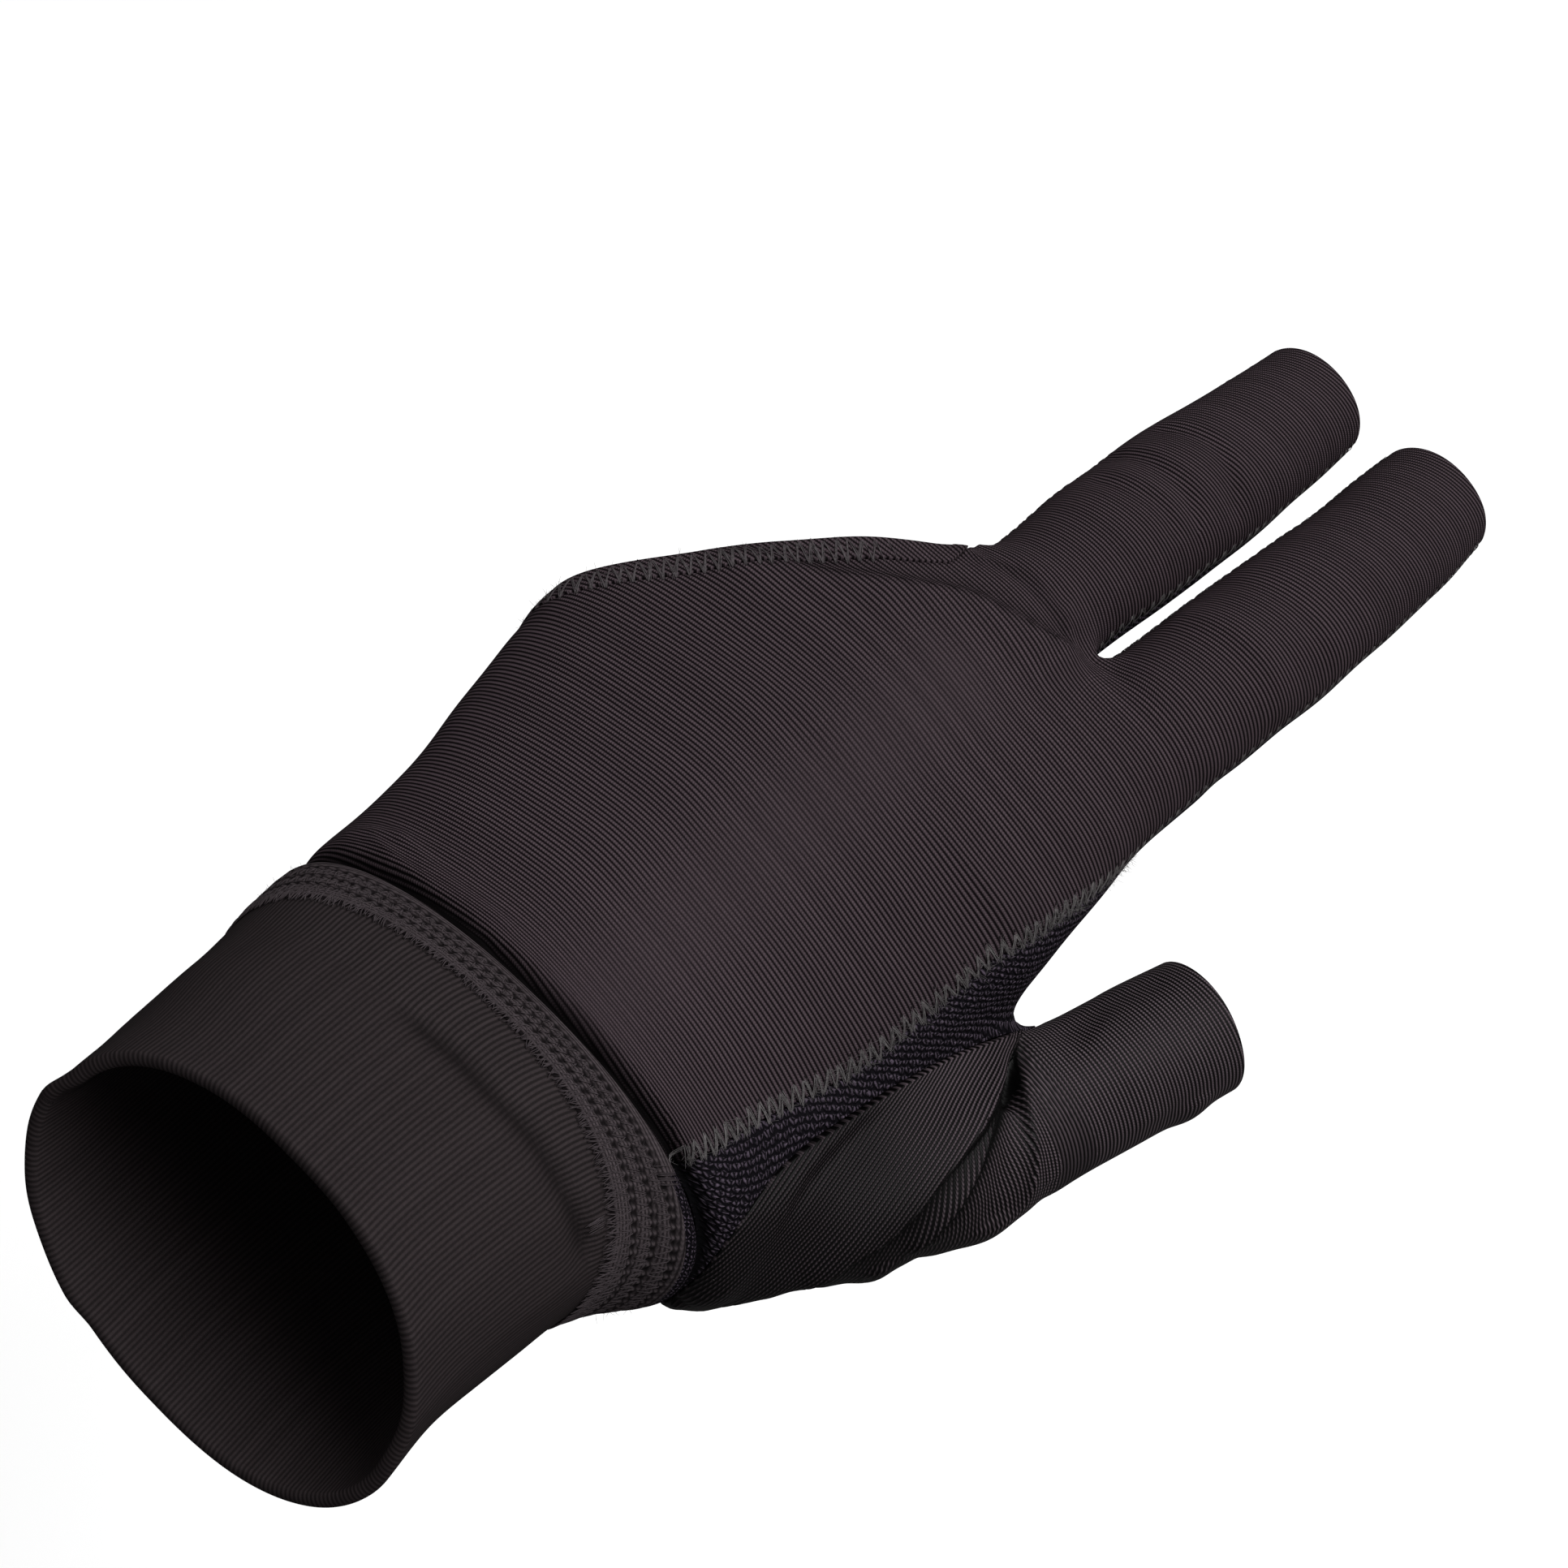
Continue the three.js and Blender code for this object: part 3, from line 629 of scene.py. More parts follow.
hand_folds = [
    # height, width to the left, width to the right, line
    BASE_SWELL,
    (1.4, 4.5, 2.6, WRIST_BULGE),
    (0.5, 0.9, 0.9, [(10.5, 26.9, 10.5), (8.9, 19.6, 15.4), (7.9, 11.3, 18), (8, 3.8, 18.8)]),
    (0.45, 1.0, 1.0, [(13, 25.5, 11.4), (10.7, 15, 16.7), (10.8, 3.6, 18.2)]),
    (0.4, 1.0, 1.0, [(9, 29.5, 7), (13, 22, 14), (15, 12, 17)]),
    (1.0, 1.0, 4.5, KNUCKLE_RIDGE),
    (0.6, 3.0, 1.1, FINGER_RIDGE),
    (-0.5, 2.0, 2.0, [(97, 3, 9), (99.5, -5, 11), (101, -12, 10)]),
    (0.5, 5.0, 5.0, [(47.8, 33.6, 6.3), (54.1, 33.4, 7.3), (58.3, 29.6, 10.1), (64.8, 23.5, 12.2),
                     (76, 14, 13)]),
    (0.4, 3.5, 3.5, [(80.2, 8.2, 13.4), (86.1, 0.7, 13.3), (89.2, -7.7, 13.5), (92.2, -15.8, 11.2)]),
    (-0.7, 1.4, 2.4, [(126, 2, 2), (127.2, -2.7, 7.2), (127.1, -6.8, 9.4), (126.6, -12.2, 9.5),
                      (124, -18, 3)]),
    (-0.6, 1.4, 2.4, [(133, 0, 4), (135.4, -5.3, 7.8), (136, -10.1, 9.1), (134.2, -14.7, 8.4),
                      (132, -19, 3)]),
    (-0.5, 1.2, 2.0, [(120, 0, 6), (121.1, -5.8, 9.6), (122.3, -10.4, 10), (121, -16, 7)]),
    (0.45, 3.0, 3.0, [(112, -21, 3), (116, -31, 10), (112, -41, 2)]),
    (-0.35, 2.5, 2.5, [(122, -22, 2), (125, -32, 9), (121, -42, 2)]),
    (0.7, 3.5, 3.5, [(6, -28, -10), (5, -20, -18), (5, 0, -22), (6, 20, -17), (6, 30, -4)]),
    (-0.6, 2.5, 2.5, [(12, -20, -19), (11, 0, -22), (12, 22, -17)]),
]
FLAP_EDGE = [(12, -44.5, -13), (15.6, -46, -9.1), (20.3, -47.6, -5.9), (23.9, -48.8, -4.9),
             (28.9, -49.4, -3.3), (33.3, -49.2, -2.2), (38.2, -49, -1.9), (43.9, -48.4, -2.3),
             (49.8, -46.8, -3.6), (56.4, -44.6, -6.8), (61, -43, -10.5)]
FLAP_UNDER_EDGE = [(27, -52.4, -11), (29.3, -53, -8.9), (31.6, -53.1, -7.2), (35.1, -52.9, -5.4),
                   (39.7, -51.8, -3.5), (42.5, -50.5, -2.9), (45.7, -49.2, -2.8), (50, -46.9, -3.7),
                   (54, -45.2, -5.6)]
THUMB_CREASE = [(58.5, -42.5, -9), (57.2, -43.9, -7.6), (55, -46.6, -5.6), (51.8, -50.2, -4.4),
                (49.2, -53.4, -4.9), (46.4, -57.8, -7.4), (43, -60, -13)]
POCKET = [(58.5, -43.8, -8.6), (56, -45.2, -6.5), (53.5, -46.8, -5), (51, -48, -4.1), (48, -50, -3.6)]
thumb_folds = [
    BASE_SWELL,
    (0.9, 2.2, 2.6, [(0, -37, -11), (4.7, -38.2, -6.2), (13.5, -37, 2.9), (25.1, -36.6, 5),
                     (36.7, -37.7, 3.6), (48.4, -40.4, -1.4)]),
    (-0.6, 1.2, 1.2, [(3, -40, -14), (7.2, -40.4, -10.1), (14.7, -38.9, 1.4), (24.9, -38.6, 3.7),
                      (35.2, -39.4, 2.6)]),
    (1.6, 5.0, 0.5, FLAP_EDGE),
    (1.0, 2.2, 0.45, FLAP_UNDER_EDGE),
    (-1.6, 1.5, 1.6, POCKET),
    (0.7, 1.6, 0.6, THUMB_CREASE),
    (-0.9, 2.4, 2.4, [(57.5, -44.5, -8.5), (51, -49.5, -4.2), (46, -53, -4.2), (41, -56.5, -7),
                      (37, -59, -12)]),
    (-0.35, 1.4, 2.2, [(60.3, -47.8, -7.3), (70.1, -49, -9.5), (76.5, -51, -9.9), (81.2, -52.8, -9.9)]),
    (0.5, 4.0, 4.0, [(66, -50, -9), (67, -58, -8), (65, -65, -13)]),
    (-0.65, 5.0, 5.0, [(2, -36.5, -15), (10, -41.8, -14.4), (19.5, -47.5, -15.2)]),
]
UNDER_THUMB = [
    # swells and dips of the thumb's lower outline: height, half its width, and the place of its middle
    (1.1, 1.8, (2.2, -36.4, -15.2)),
    (0.75, 2.4, (24.5, -51.4, -15.9)),
    (-0.5, 2.2, (31.0, -53.6, -16.3)),
    (0.8, 3.6, (39.8, -58.2, -16.8)),
    (-0.35, 2.2, (48.4, -60.4, -16.7)),
    (0.65, 2.8, (72.5, -67.4, -18.0)),
]
for height, width, (x, y, z) in UNDER_THUMB:
    thumb_folds.append((height, width, width, [(x, y + 0.6, z + 6), (x, y, z), (x, y + 2.8, z - 6)]))
hand_shades = [
    # how dark it is beside a fold: depth of the shade, and its width to the left and right
    (0.40, 3.0, 0.4, KNUCKLE_RIDGE),
    (0.30, 0.4, 2.2, FINGER_RIDGE),
]
thumb_shades = [
    (0.85, 0.2, 2.4, FLAP_EDGE),
    (0.8, 0.2, 1.8, FLAP_UNDER_EDGE),
    (0.7, 1.0, 1.3, POCKET),
    (0.5, 0.4, 1.4, THUMB_CREASE),
]
FLAP_SHADE, FLAP_SHADE_PLACES = 0.6, (17.0, 32.0)
FADE = 0.14  # share of a fold's length over which it rises at each end
SLOW_WAVES, SHORT_WAVES = 0.10, 0.06


def bell(values):
    """1 in the middle, falling off smoothly to both sides."""
    return np.exp(-values ** 2)


def fold_lift(points, normals, folds):
    """Height that the folds add at each point."""
    lift = np.zeros(len(points))
    for height, left, right, line in folds:
        line = smooth_rows(line, LINE_STEPS)
        start, span = line[:-1], line[1:] - line[:-1]
        margin = 3 * max(left, right)
        near = ((points > line.min(0) - margin) & (points < line.max(0) + margin)).all(1)
        p, n = points[near], normals[near]
        t = np.clip(((p[:, None] - start) * span).sum(2) / (span ** 2).sum(1), 0, 1)
        off = p[:, None] - start - t[..., None] * span
        gap = np.linalg.norm(off, axis=2)
        best = gap.argmin(1)
        rows = np.arange(len(p))
        on_left = (np.cross(n, unit(span[best])) * off[rows, best]).sum(1) > 0
        place = (best + t[rows, best]) / len(span)
        fade = eased(ramp(np.minimum(place, 1 - place), 0, FADE))
        lift[near] += height * fade * bell(gap[rows, best] / np.where(on_left, left, right))
    return lift


def slack(points):
    """The slow unevenness of worn cloth."""
    x, y, z = points.T
    slow = np.sin(x / 4.1 + np.sin(y / 6.3)) * np.sin(y / 5.2 + 1.3 * np.sin(x / 9.7))
    return SLOW_WAVES * slow + SHORT_WAVES * np.sin(x / 2.3 + y / 3.1 + z / 2.7)


# %% [markdown]
# A knit has to know which way its ribs run. On the real glove they cross the hand, bent where the cloth is
# pulled towards the fingers, and ring each finger at a slight slant. An unwrapped UV map would show its
# cuts, so each vertex carries two numbers instead: which rib it lies on, and how many millimetres it is
# along that rib. The second one is mirrored at the two sides of a limb, so that it never jumps. Materials
# read them as "knit". A third number is painted shade: how much darker a vertex is drawn in a hole, in
# the crease of the wrist or beside a fold, where hardly any light gets.

# %% Where the ribs run
RIB_PLACES = (-20, 10, 24, 70, 90, 110, 180)
RIBS_PER_MM = (1.9, 1.9, 1.56, 1.52, 1.5, 1.7, 1.72)
BOW_PLACES = (-60, -32, -24, 0, 9, 60)
BOW_SLOPES = (0, -0.03, -0.14, -0.14, 0.07, 0.09)
TILT_PLACES, TILTS = (95, 135), (-0.10, 0.13)
BETWEEN_FINGERS = -21.0
FINGERS_FROM, FINGERS_OVER, FINGERS_BLEND = 84.0, 16.0, 5.0
RIBS_IN_VALLEY, RIBS_VALLEY_WIDTH = 2.4, 2.6  # the crease beside the band holds more cloth than its width
BIAS, MESH_ROW = math.radians(38), 0.9
CREASE_SHADE, CREASE_PLACE, CREASE_WIDTH = 0.95, 0.6, 1.0
DARKEST_ON_HAND, DARKEST_ON_THUMB = 0.9, 0.92
RING_STEPS = 120


def summed_up(places, values, count):
    """Fine places, and the sum of the values up to each of them."""
    fine = np.linspace(places[0], places[-1], count)
    return fine, np.cumsum(np.interp(fine, places, values)) * (fine[1] - fine[0])


places_fine, ribs_fine = summed_up(RIB_PLACES, RIBS_PER_MM, 401)
across_fine, bow_fine = summed_up(BOW_PLACES, BOW_SLOPES, 241)
bow_fine -= np.interp(BETWEEN_FINGERS, across_fine, bow_fine)


def along_ring(table, p):
    """Millimetres round a limb from the line on top of it, mirrored at its sides; the same from the line
    underneath, not mirrored; and the centre of the section."""
    angle = np.linspace(0, np.pi, RING_STEPS + 1)
    power = 2 / table[:, 15:16]
    a = signed_power(np.cos(angle), power) * table[:, 12:13]
    b = np.sin(angle) ** power * table[:, 13:14]
    arcs = np.zeros_like(a)
    arcs[:, 1:] = np.cumsum(np.hypot(np.diff(a), np.diff(b)), axis=1)
    arcs = arcs[:, RING_STEPS // 2][:, None] - arcs
    angle, row = angle_round(table, p)
    step = np.abs(angle) / np.pi * RING_STEPS
    station = np.interp(row[:, 0], table[:, 0], np.arange(len(table)))
    i = np.minimum(station.astype(int), len(table) - 2)
    j = np.minimum(step.astype(int), RING_STEPS - 1)
    s, t = station - i, step - j
    from_top = (arcs[i, j] * (1 - s) * (1 - t) + arcs[i + 1, j] * s * (1 - t)
                + arcs[i, j + 1] * (1 - s) * t + arcs[i + 1, j + 1] * s * t)
    to_side = arcs[i, 0] * (1 - s) + arcs[i + 1, 0] * s
    from_below = np.where(angle > 0, np.sign(from_top) * 2 * to_side - from_top, from_top)
    return from_top, from_below, row[:, :3]


def fingers_share(p):
    return ramp(p[:, 0], FINGERS_FROM, FINGERS_OVER)


def round_hand(p, which):
    """Millimetres round the hand, passing over into millimetres round the nearer finger."""
    on_index = np.clip(0.5 + (limb_field(middle, p) - limb_field(index, p)) / FINGERS_BLEND, 0, 1)
    rings = [found[which] + found[2][:, 1] for found in (along_ring(t, p) for t in (hand, index, middle))]
    share = fingers_share(p)
    return rings[0] * (1 - share) + (rings[1] * on_index + rings[2] * (1 - on_index)) * share


def painted_crease_shade(p):
    """Painted shade in the crease of the wrist, from 0 to 1: how much darker a point is drawn there."""
    return CREASE_SHADE * bell((past_band(p) - CREASE_PLACE) / CREASE_WIDTH)


def light_left(p, shades, darkest):
    """The light left beside the folds and in the crease of the wrist, from 0 to 1."""
    return (1 - painted_crease_shade(p)) * (1 - np.clip(fold_lift(p, form_normals(p), shades), 0, darkest))


def hand_knit(p):
    share = fingers_share(p)
    tilt = np.interp(p[:, 0], TILT_PLACES, TILTS) * (p[:, 1] - BETWEEN_FINGERS)
    bowed = p[:, 0] + np.interp(p[:, 1], across_fine, bow_fine) * (1 - share) + tilt * share
    ribs = np.interp(bowed, places_fine, ribs_fine) - RIBS_IN_VALLEY * bell(past_band(p) / RIBS_VALLEY_WIDTH)
    return np.stack([ribs, round_hand(p, 0), 1 - light_left(p, hand_shades, DARKEST_ON_HAND)], 1)


def palm_knit(p):
    """The mesh was cut on the bias: its rows run slantwise round the thumb's side of the hand."""
    round_palm = round_hand(p, 1)
    rows = round_palm * math.cos(BIAS) - p[:, 0] * math.sin(BIAS)
    along = round_palm * math.sin(BIAS) + p[:, 0] * math.cos(BIAS)
    return np.stack([rows / MESH_ROW, along, painted_crease_shade(p)], 1)


# %% [markdown]
# The thumb stall is a tube knitted like the fingers, but its base is a flap that was turned to lie along
# the palm. So behind the crotch of the thumb the ribs fan out round a pivot, and past that they run
# straight again. The cloth tucked in under the flap has ribs at a slant, and under that the tube goes on
# with its own. Farther from the crotch the flap is painted darker with painted shade, and its relief is made
# flatter.

# %% Ribs of the thumb stall
PIVOT = np.array([59.5, -43.0, -9.0])
THUMB_ALONG = unit(np.array([0.985, -0.17, 0.0]))
FLAP_ALONG = unit(np.array([0.16, -0.93, -0.32]))
POCKET_ALONG = unit(np.array([0.79, -0.5, -0.35]))
THUMB_RIB, FLAP_RIB, POCKET_RIB, FAN_RADIUS = 0.6, 0.51, 0.72, 15.0
CROTCH_BLEND = 6.0


def beyond(p, line):
    """Whether a point of the stall lies on the outer side of a line along the flap."""
    line = smooth_rows(line, LINE_STEPS)
    return sum(p[:, k] - np.interp(p[:, 0], line[:, 0], line[:, k]) for k in (1, 2)) < 0


def thumb_knit(p):
    axis = unit(np.cross(FLAP_ALONG, THUMB_ALONG))
    down = -np.cross(axis, THUMB_ALONG)
    off = p - PIVOT
    ahead, out, past = off @ THUMB_ALONG, off @ down, off @ FLAP_ALONG
    widest = math.acos(FLAP_ALONG @ THUMB_ALONG)
    angle = np.arctan2(-ahead, out)
    fan = -FAN_RADIUS * np.clip(angle, 0, widest) / THUMB_RIB
    in_flap = (angle > widest) & (ahead < 0)
    in_pocket = beyond(p, FLAP_EDGE) & ~beyond(p, FLAP_UNDER_EDGE)
    ribs = np.where(in_pocket, off @ POCKET_ALONG / POCKET_RIB, fan + np.where(in_flap, past / FLAP_RIB, 0))
    ribs = np.where((ahead > 0) | beyond(p, FLAP_UNDER_EDGE), ahead / THUMB_RIB, ribs)
    share = np.clip(ahead / CROTCH_BLEND + 1, 0, 1)
    along = along_ring(thumb, p)[0] * share + np.hypot(ahead, out) * (1 - share)
    # painted shade: the flap is drawn darker farther from the crotch
    flap_painted_shade = np.interp(np.linalg.norm(off, axis=1), FLAP_SHADE_PLACES, (0, FLAP_SHADE)) * (1 - share)
    light = light_left(p, thumb_shades, DARKEST_ON_THUMB) * (1 - flap_painted_shade)
    return np.stack([ribs, along, 1 - light], 1)


# %% [markdown]
# The cut skin has no thickness yet. A Solidify modifier would give one, but the edges of this glove differ:
# folded and round at the hem, cut thin at the fingertips. So the wall is made by hand: the skin is copied
# inwards along its normals, and the two are joined round every open edge by a rounded rim.

# %% Give a cut skin its thickness
CLOTH = 1.3
INNER_SHARE = 0.6  # the inside of the wall follows a fold only this far
RIM = [(0.12, 0.55), (0.5, 0.85),
       (0.88, 0.55)]  # depth as a share of the cloth, bulge as a share of the room


def rim_edges(faces):
    """Edges with a face on one side only, in the direction of that face."""
    pairs = sides_of(faces).reshape(-1, 2)
    code = pairs[:, 0] * (pairs.max() + 1) + pairs[:, 1]
    back_code = pairs[:, 1] * (pairs.max() + 1) + pairs[:, 0]
    return pairs[~np.isin(code, back_code)]


def wall(points, normals, faces, lift, cloth):
    """Points and faces of a closed wall, and for each new point the old one that it came from."""
    count = len(points)
    edges = rim_edges(faces)
    outward = np.zeros_like(points)
    across = unit(np.cross(points[edges[:, 1]] - points[edges[:, 0]], normals[edges[:, 0]]))
    for side in (0, 1):
        np.add.at(outward, edges[:, side], across)
    outward = unit(outward)
    rim = np.unique(edges)
    place_on_rim = np.full(count, -1)
    place_on_rim[rim] = np.arange(len(rim))
    outer = points + normals * lift[:, None]
    inner = points + normals * (INNER_SHARE * lift - cloth)[:, None]
    layers = [outer]
    for depth, bulge in RIM:
        ring = outer[rim] * (1 - depth) + inner[rim] * depth
        layers.append(ring + outward[rim] * (bulge * EDGE_ROOM))
    layers.append(inner)
    made_from = np.concatenate([np.arange(count), *[rim] * len(RIM), np.arange(count)])
    numbers = [np.arange(count)]
    numbers += [count + k * len(rim) + place_on_rim for k in range(len(RIM))]
    numbers.append(count + len(RIM) * len(rim) + np.arange(count))
    all_faces = [faces, numbers[-1][faces[:, ::-1]]]
    a, b = edges.T
    for upper, lower in zip(numbers, numbers[1:]):
        all_faces.append(np.stack([upper[a], lower[b], upper[b]], 1))
        all_faces.append(np.stack([upper[a], lower[a], lower[b]], 1))
    return np.vstack(layers), np.vstack(all_faces), made_from


def add_piece(name, node, points, faces, knit, material, other=None, other_faces=None):
    """A mesh piece in the row's frame, smooth, with its knit attribute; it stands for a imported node.
    Some of its faces can have another material."""
    mesh = bpy.data.meshes.new(name)
    mesh.from_pydata((points * MM).tolist(), [], faces.tolist())
    mesh.shade_smooth()
    if knit is not None:
        attribute = mesh.attributes.new("knit", "FLOAT_VECTOR", "POINT")
        attribute.data.foreach_set("vector", knit.astype(np.float32).ravel())
    mesh.materials.append(material)
    if other is not None:
        mesh.materials.append(other)
        mesh.polygons.foreach_set("material_index", other_faces.astype(np.int32))
    piece = bpy.data.objects.new(name, mesh)
    bpy.context.scene.collection.objects.link(piece)
    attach(piece, "root")
    if node:
        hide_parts(node)
    print("%s: %d faces" % (name, len(faces)))


VALLEY_DEPTH, VALLEY_PLACE, VALLEY_WIDTH = (0.2, 2.3), 0.7, 1.1  # shallow on the palm, deep on the back
DEPTH_PLACES = (0, 13)
DIP, DIP_WIDTH = 0.3, 1.1
TIP_THINNER, TIP_REACH = 0.5, 2.5
STALL_RIM, END_SHADE = 0.4, 0.7  # a stall's cut edge and the inside near it are painted with an even shade


def seam_dip(p, *rules):
    """Stitches pull the cloth in beside a seam, and more so beside the band."""
    dip = sum(DIP * bell(rule(p) / DIP_WIDTH) for rule in rules)
    depth = np.interp(p[:, 2], DEPTH_PLACES, VALLEY_DEPTH)
    return -dip - depth * bell((past_band(p) - VALLEY_PLACE) / VALLEY_WIDTH)


def lifted(points, normals, folds, rules, rise=0.0):
    return rise + fold_lift(points, normals, folds) + slack(points) + seam_dip(points, *rules)


def panel(name, node, piece, folds, rules, knit_rule, material, rise=0.0):
    points, faces = piece
    normals = form_normals(points)
    before_end = before_stall_ends(points)
    cloth = CLOTH - TIP_THINNER * bell(before_end / TIP_REACH)
    lift = lifted(points, normals, folds, rules, rise)
    solid, solid_faces, made_from = wall(points, normals, faces, lift, cloth)
    knit = knit_rule(points)[made_from]
    # painted shade: the cut edge and the inside near a stall's end are drawn evenly dim
    at_end = (before_end < STALL_RIM)[made_from] & (np.arange(len(solid)) >= len(points))
    knit[at_end, 2] = np.maximum(knit[at_end, 2], END_SHADE)
    add_piece(name, node, solid, solid_faces, knit, material)


# %% [markdown]
# The cuff and the band beside it are tubes round the wrist, so they are lofted: rings of points follow the
# sections of the hand, and the rings themselves follow a profile that goes over the outside, round the
# folded edge and back along the inside. The cuff of the real glove is one wide strip folded double.

# %% Rings round the wrist
ROUND = 240
FINE_ROUND = 1440


def ring_points(x, angle, rise):
    """Points on the sections of the wrist, and their normals."""
    row, _ = rows_at(hand, np.interp(x, hand[:, 0], np.arange(len(hand))))
    wide, high = row[..., 12], np.where(np.sin(angle) > 0, row[..., 13], row[..., 14])
    side, upward = row[..., 6:9], row[..., 9:12]
    power = 2 / row[..., 15]
    a, b = signed_power(np.cos(angle), power), signed_power(np.sin(angle), power)
    slope = row[..., 15] - 1
    lean = unit(np.stack([signed_power(a, slope) / wide, signed_power(b, slope) / high], -1))
    normal = side * lean[..., :1] + upward * lean[..., 1:]
    surface = row[..., :3] + side * (a * wide)[..., None] + upward * (b * high)[..., None]
    return surface + normal * rise[..., None], normal


def far_along(line):
    """Millimetres from the start of a line to each of its points."""
    return np.concatenate([[0], np.cumsum(np.linalg.norm(np.diff(line, axis=0), axis=1))])


def loft_faces(rings, count):
    ring, place = np.meshgrid(np.arange(rings), np.arange(count), indexing="ij")
    a = ring * count + place
    b = ring * count + (place + 1) % count
    c = (ring + 1) % rings * count + (place + 1) % count
    d = (ring + 1) % rings * count + place
    return np.stack([a, b, c, d], -1).reshape(-1, 4)


def around_wrist(count, x_middle):
    """Angles at even steps round the ring at x_middle, and the steps in millimetres."""
    fine = np.linspace(0, 2 * np.pi, FINE_ROUND + 1)
    points, _ = ring_points(np.full_like(fine, x_middle), fine, np.zeros_like(fine))
    length = far_along(points)
    steps = np.arange(count) / count * length[-1]
    return np.interp(steps, length, fine), steps


CUFF_CREASE = [(-7.6, 9, 24), (-6.6, 1.7, 24.2), (-6.3, -2.8, 23.9), (-6.6, -8.2, 23.2), (-6.3, -15.1, 21),
               (-7.2, -21.6, 17.6), (-8.1, -25.3, 14.3), (-9.5, -28.5, 8)]
cuff_folds = [
    (-1.2, 0.9, 2.8, CUFF_CREASE),
    (0.5, 4.0, 4.0, [(-11, 25, 16), (-10.5, 12, 23), (-10.5, -4, 25), (-11, -20, 19)]),
    (0.6, 6.0, 6.0, [(-20, 29, 8), (-16, 16, 25), (-18, 0, 29), (-17, -14, 26)]),
    (-0.6, 6.0, 6.0, [(-30, 28, 12), (-28, 18, 26), (-30, 2, 32), (-31, -16, 28)]),
    (1.4, 7.0, 7.0, [(-40, 27, 22), (-50, 22, 8), (-54, 8, 0)]),
]
CUFF_RISE, CUFF_CLOTH, CUFF_RIB = 0.3, 1.6, 0.65
CUFF_MIDDLE, SEAM_GAP = -25.0, 0.16
CUFF_FROM, FOLD_FROM, FOLD_REACH = 0.004, 0.985, 0.015  # shares of the way from the band to the arm


def cuff_profile():
    """Share of the way to the arm, and rise, round the cuff's wall: out, round the fold, and back inside."""
    steps = 48
    out = [(s, CUFF_RISE) for s in np.linspace(CUFF_FROM, FOLD_FROM, steps)]
    middle_rise, half = (CUFF_RISE - CUFF_CLOTH) / 2, (CUFF_RISE + CUFF_CLOTH) / 2
    fold = [(FOLD_FROM + FOLD_REACH * math.sin(a), middle_rise + half * math.cos(a))
            for a in np.linspace(0.35, math.pi - 0.35, 7)]
    inside = [(s, -CUFF_CLOTH) for s in np.linspace(FOLD_FROM, CUFF_FROM, steps // 2)]
    return np.array(out + fold + inside)


angles, arc = around_wrist(ROUND, CUFF_MIDDLE)
cuff_start = edge_round_wrist("band start", angles) - SEAM_GAP
cuff_end = edge_round_wrist("cuff end", angles)
profile = cuff_profile()
x = cuff_start + (cuff_end - cuff_start) * profile[:, :1]
rise = np.repeat(profile[:, 1:], ROUND, 1)
smooth_points, cuff_normals = ring_points(x, np.broadcast_to(angles, x.shape), rise)
smooth_points, cuff_normals = smooth_points.reshape(-1, 3), cuff_normals.reshape(-1, 3)
lift = fold_lift(smooth_points, cuff_normals, cuff_folds) + slack(smooth_points)
cuff_points = smooth_points + cuff_normals * lift[:, None]
cuff_shade = fold_lift(smooth_points, cuff_normals, [(0.6, 0.6, 2.0, CUFF_CREASE)])
cuff_ribs = np.stack([np.broadcast_to(arc, x.shape).ravel() / CUFF_RIB, x.ravel(), cuff_shade], -1)
cuff_faces = loft_faces(len(profile), ROUND)
crease_x, crease_y = np.array(CUFF_CREASE)[::-1, :2].T
cuff_middles = cuff_points[cuff_faces].mean(1)
past_crease = cuff_middles[:, 0] > np.interp(cuff_middles[:, 1], crease_y, crease_x)
beside_band = past_crease & (cuff_middles[:, 2] > 4)
print("cuff: %d rings, %.0f mm round" % (len(profile), far_along(cuff_points[:ROUND])[-1]))

# %% [markdown]
# The band is where cuff and hand were sewn together with three needles side by side. Each needle left a row
# of holes, and between the rows lies a mat of thread. The holes are modelled, and the third number of
# "knit" paints shade into them as well. Towards the hand the band ends in a plain strip that rolls down into
# the deep crease of the wrist, where its last edge is painted in shade too, and on the palm's side, where
# the mesh was sewn in, that strip is mesh.

# %% Band with its rows of needle holes
BAND_ROUND = 640
BAND_RISE, BAND_CLOTH = 0.8, 1.6
HOLE_PITCH, HOLE_DEPTH, HOLE_SIZE = 1.5, 0.5, 0.48
BAND_HANG, HANG_ANGLE, HANG_REACH = 2.0, math.radians(192), math.radians(36)
SEAM_ANGLE, OTHER_SEAM_ANGLE = math.radians(137), math.radians(348)
HOLE_ROWS = (0.27, 0.48, 0.69)
STRIP_FROM, STRIP_DROP, STRIP_STEP = 0.78, 0.25, 0.06
CORNER = ((0.0, 0.7), (0.008, 0.35), (0.03, 0.1))  # share of the width, and how far it lies under the top
FLAT_FROM, ROLL_FROM, ROLL_DEPTH = 0.06, 0.86, 30
EDGE_SHADE, EDGE_SHADE_FROM, EDGE_SHADE_OVER = 0.9, 0.955, 0.035
BAND_RIB = 0.5


def band_hang(angle):
    return BAND_HANG * bell((angle - HANG_ANGLE) / HANG_REACH)


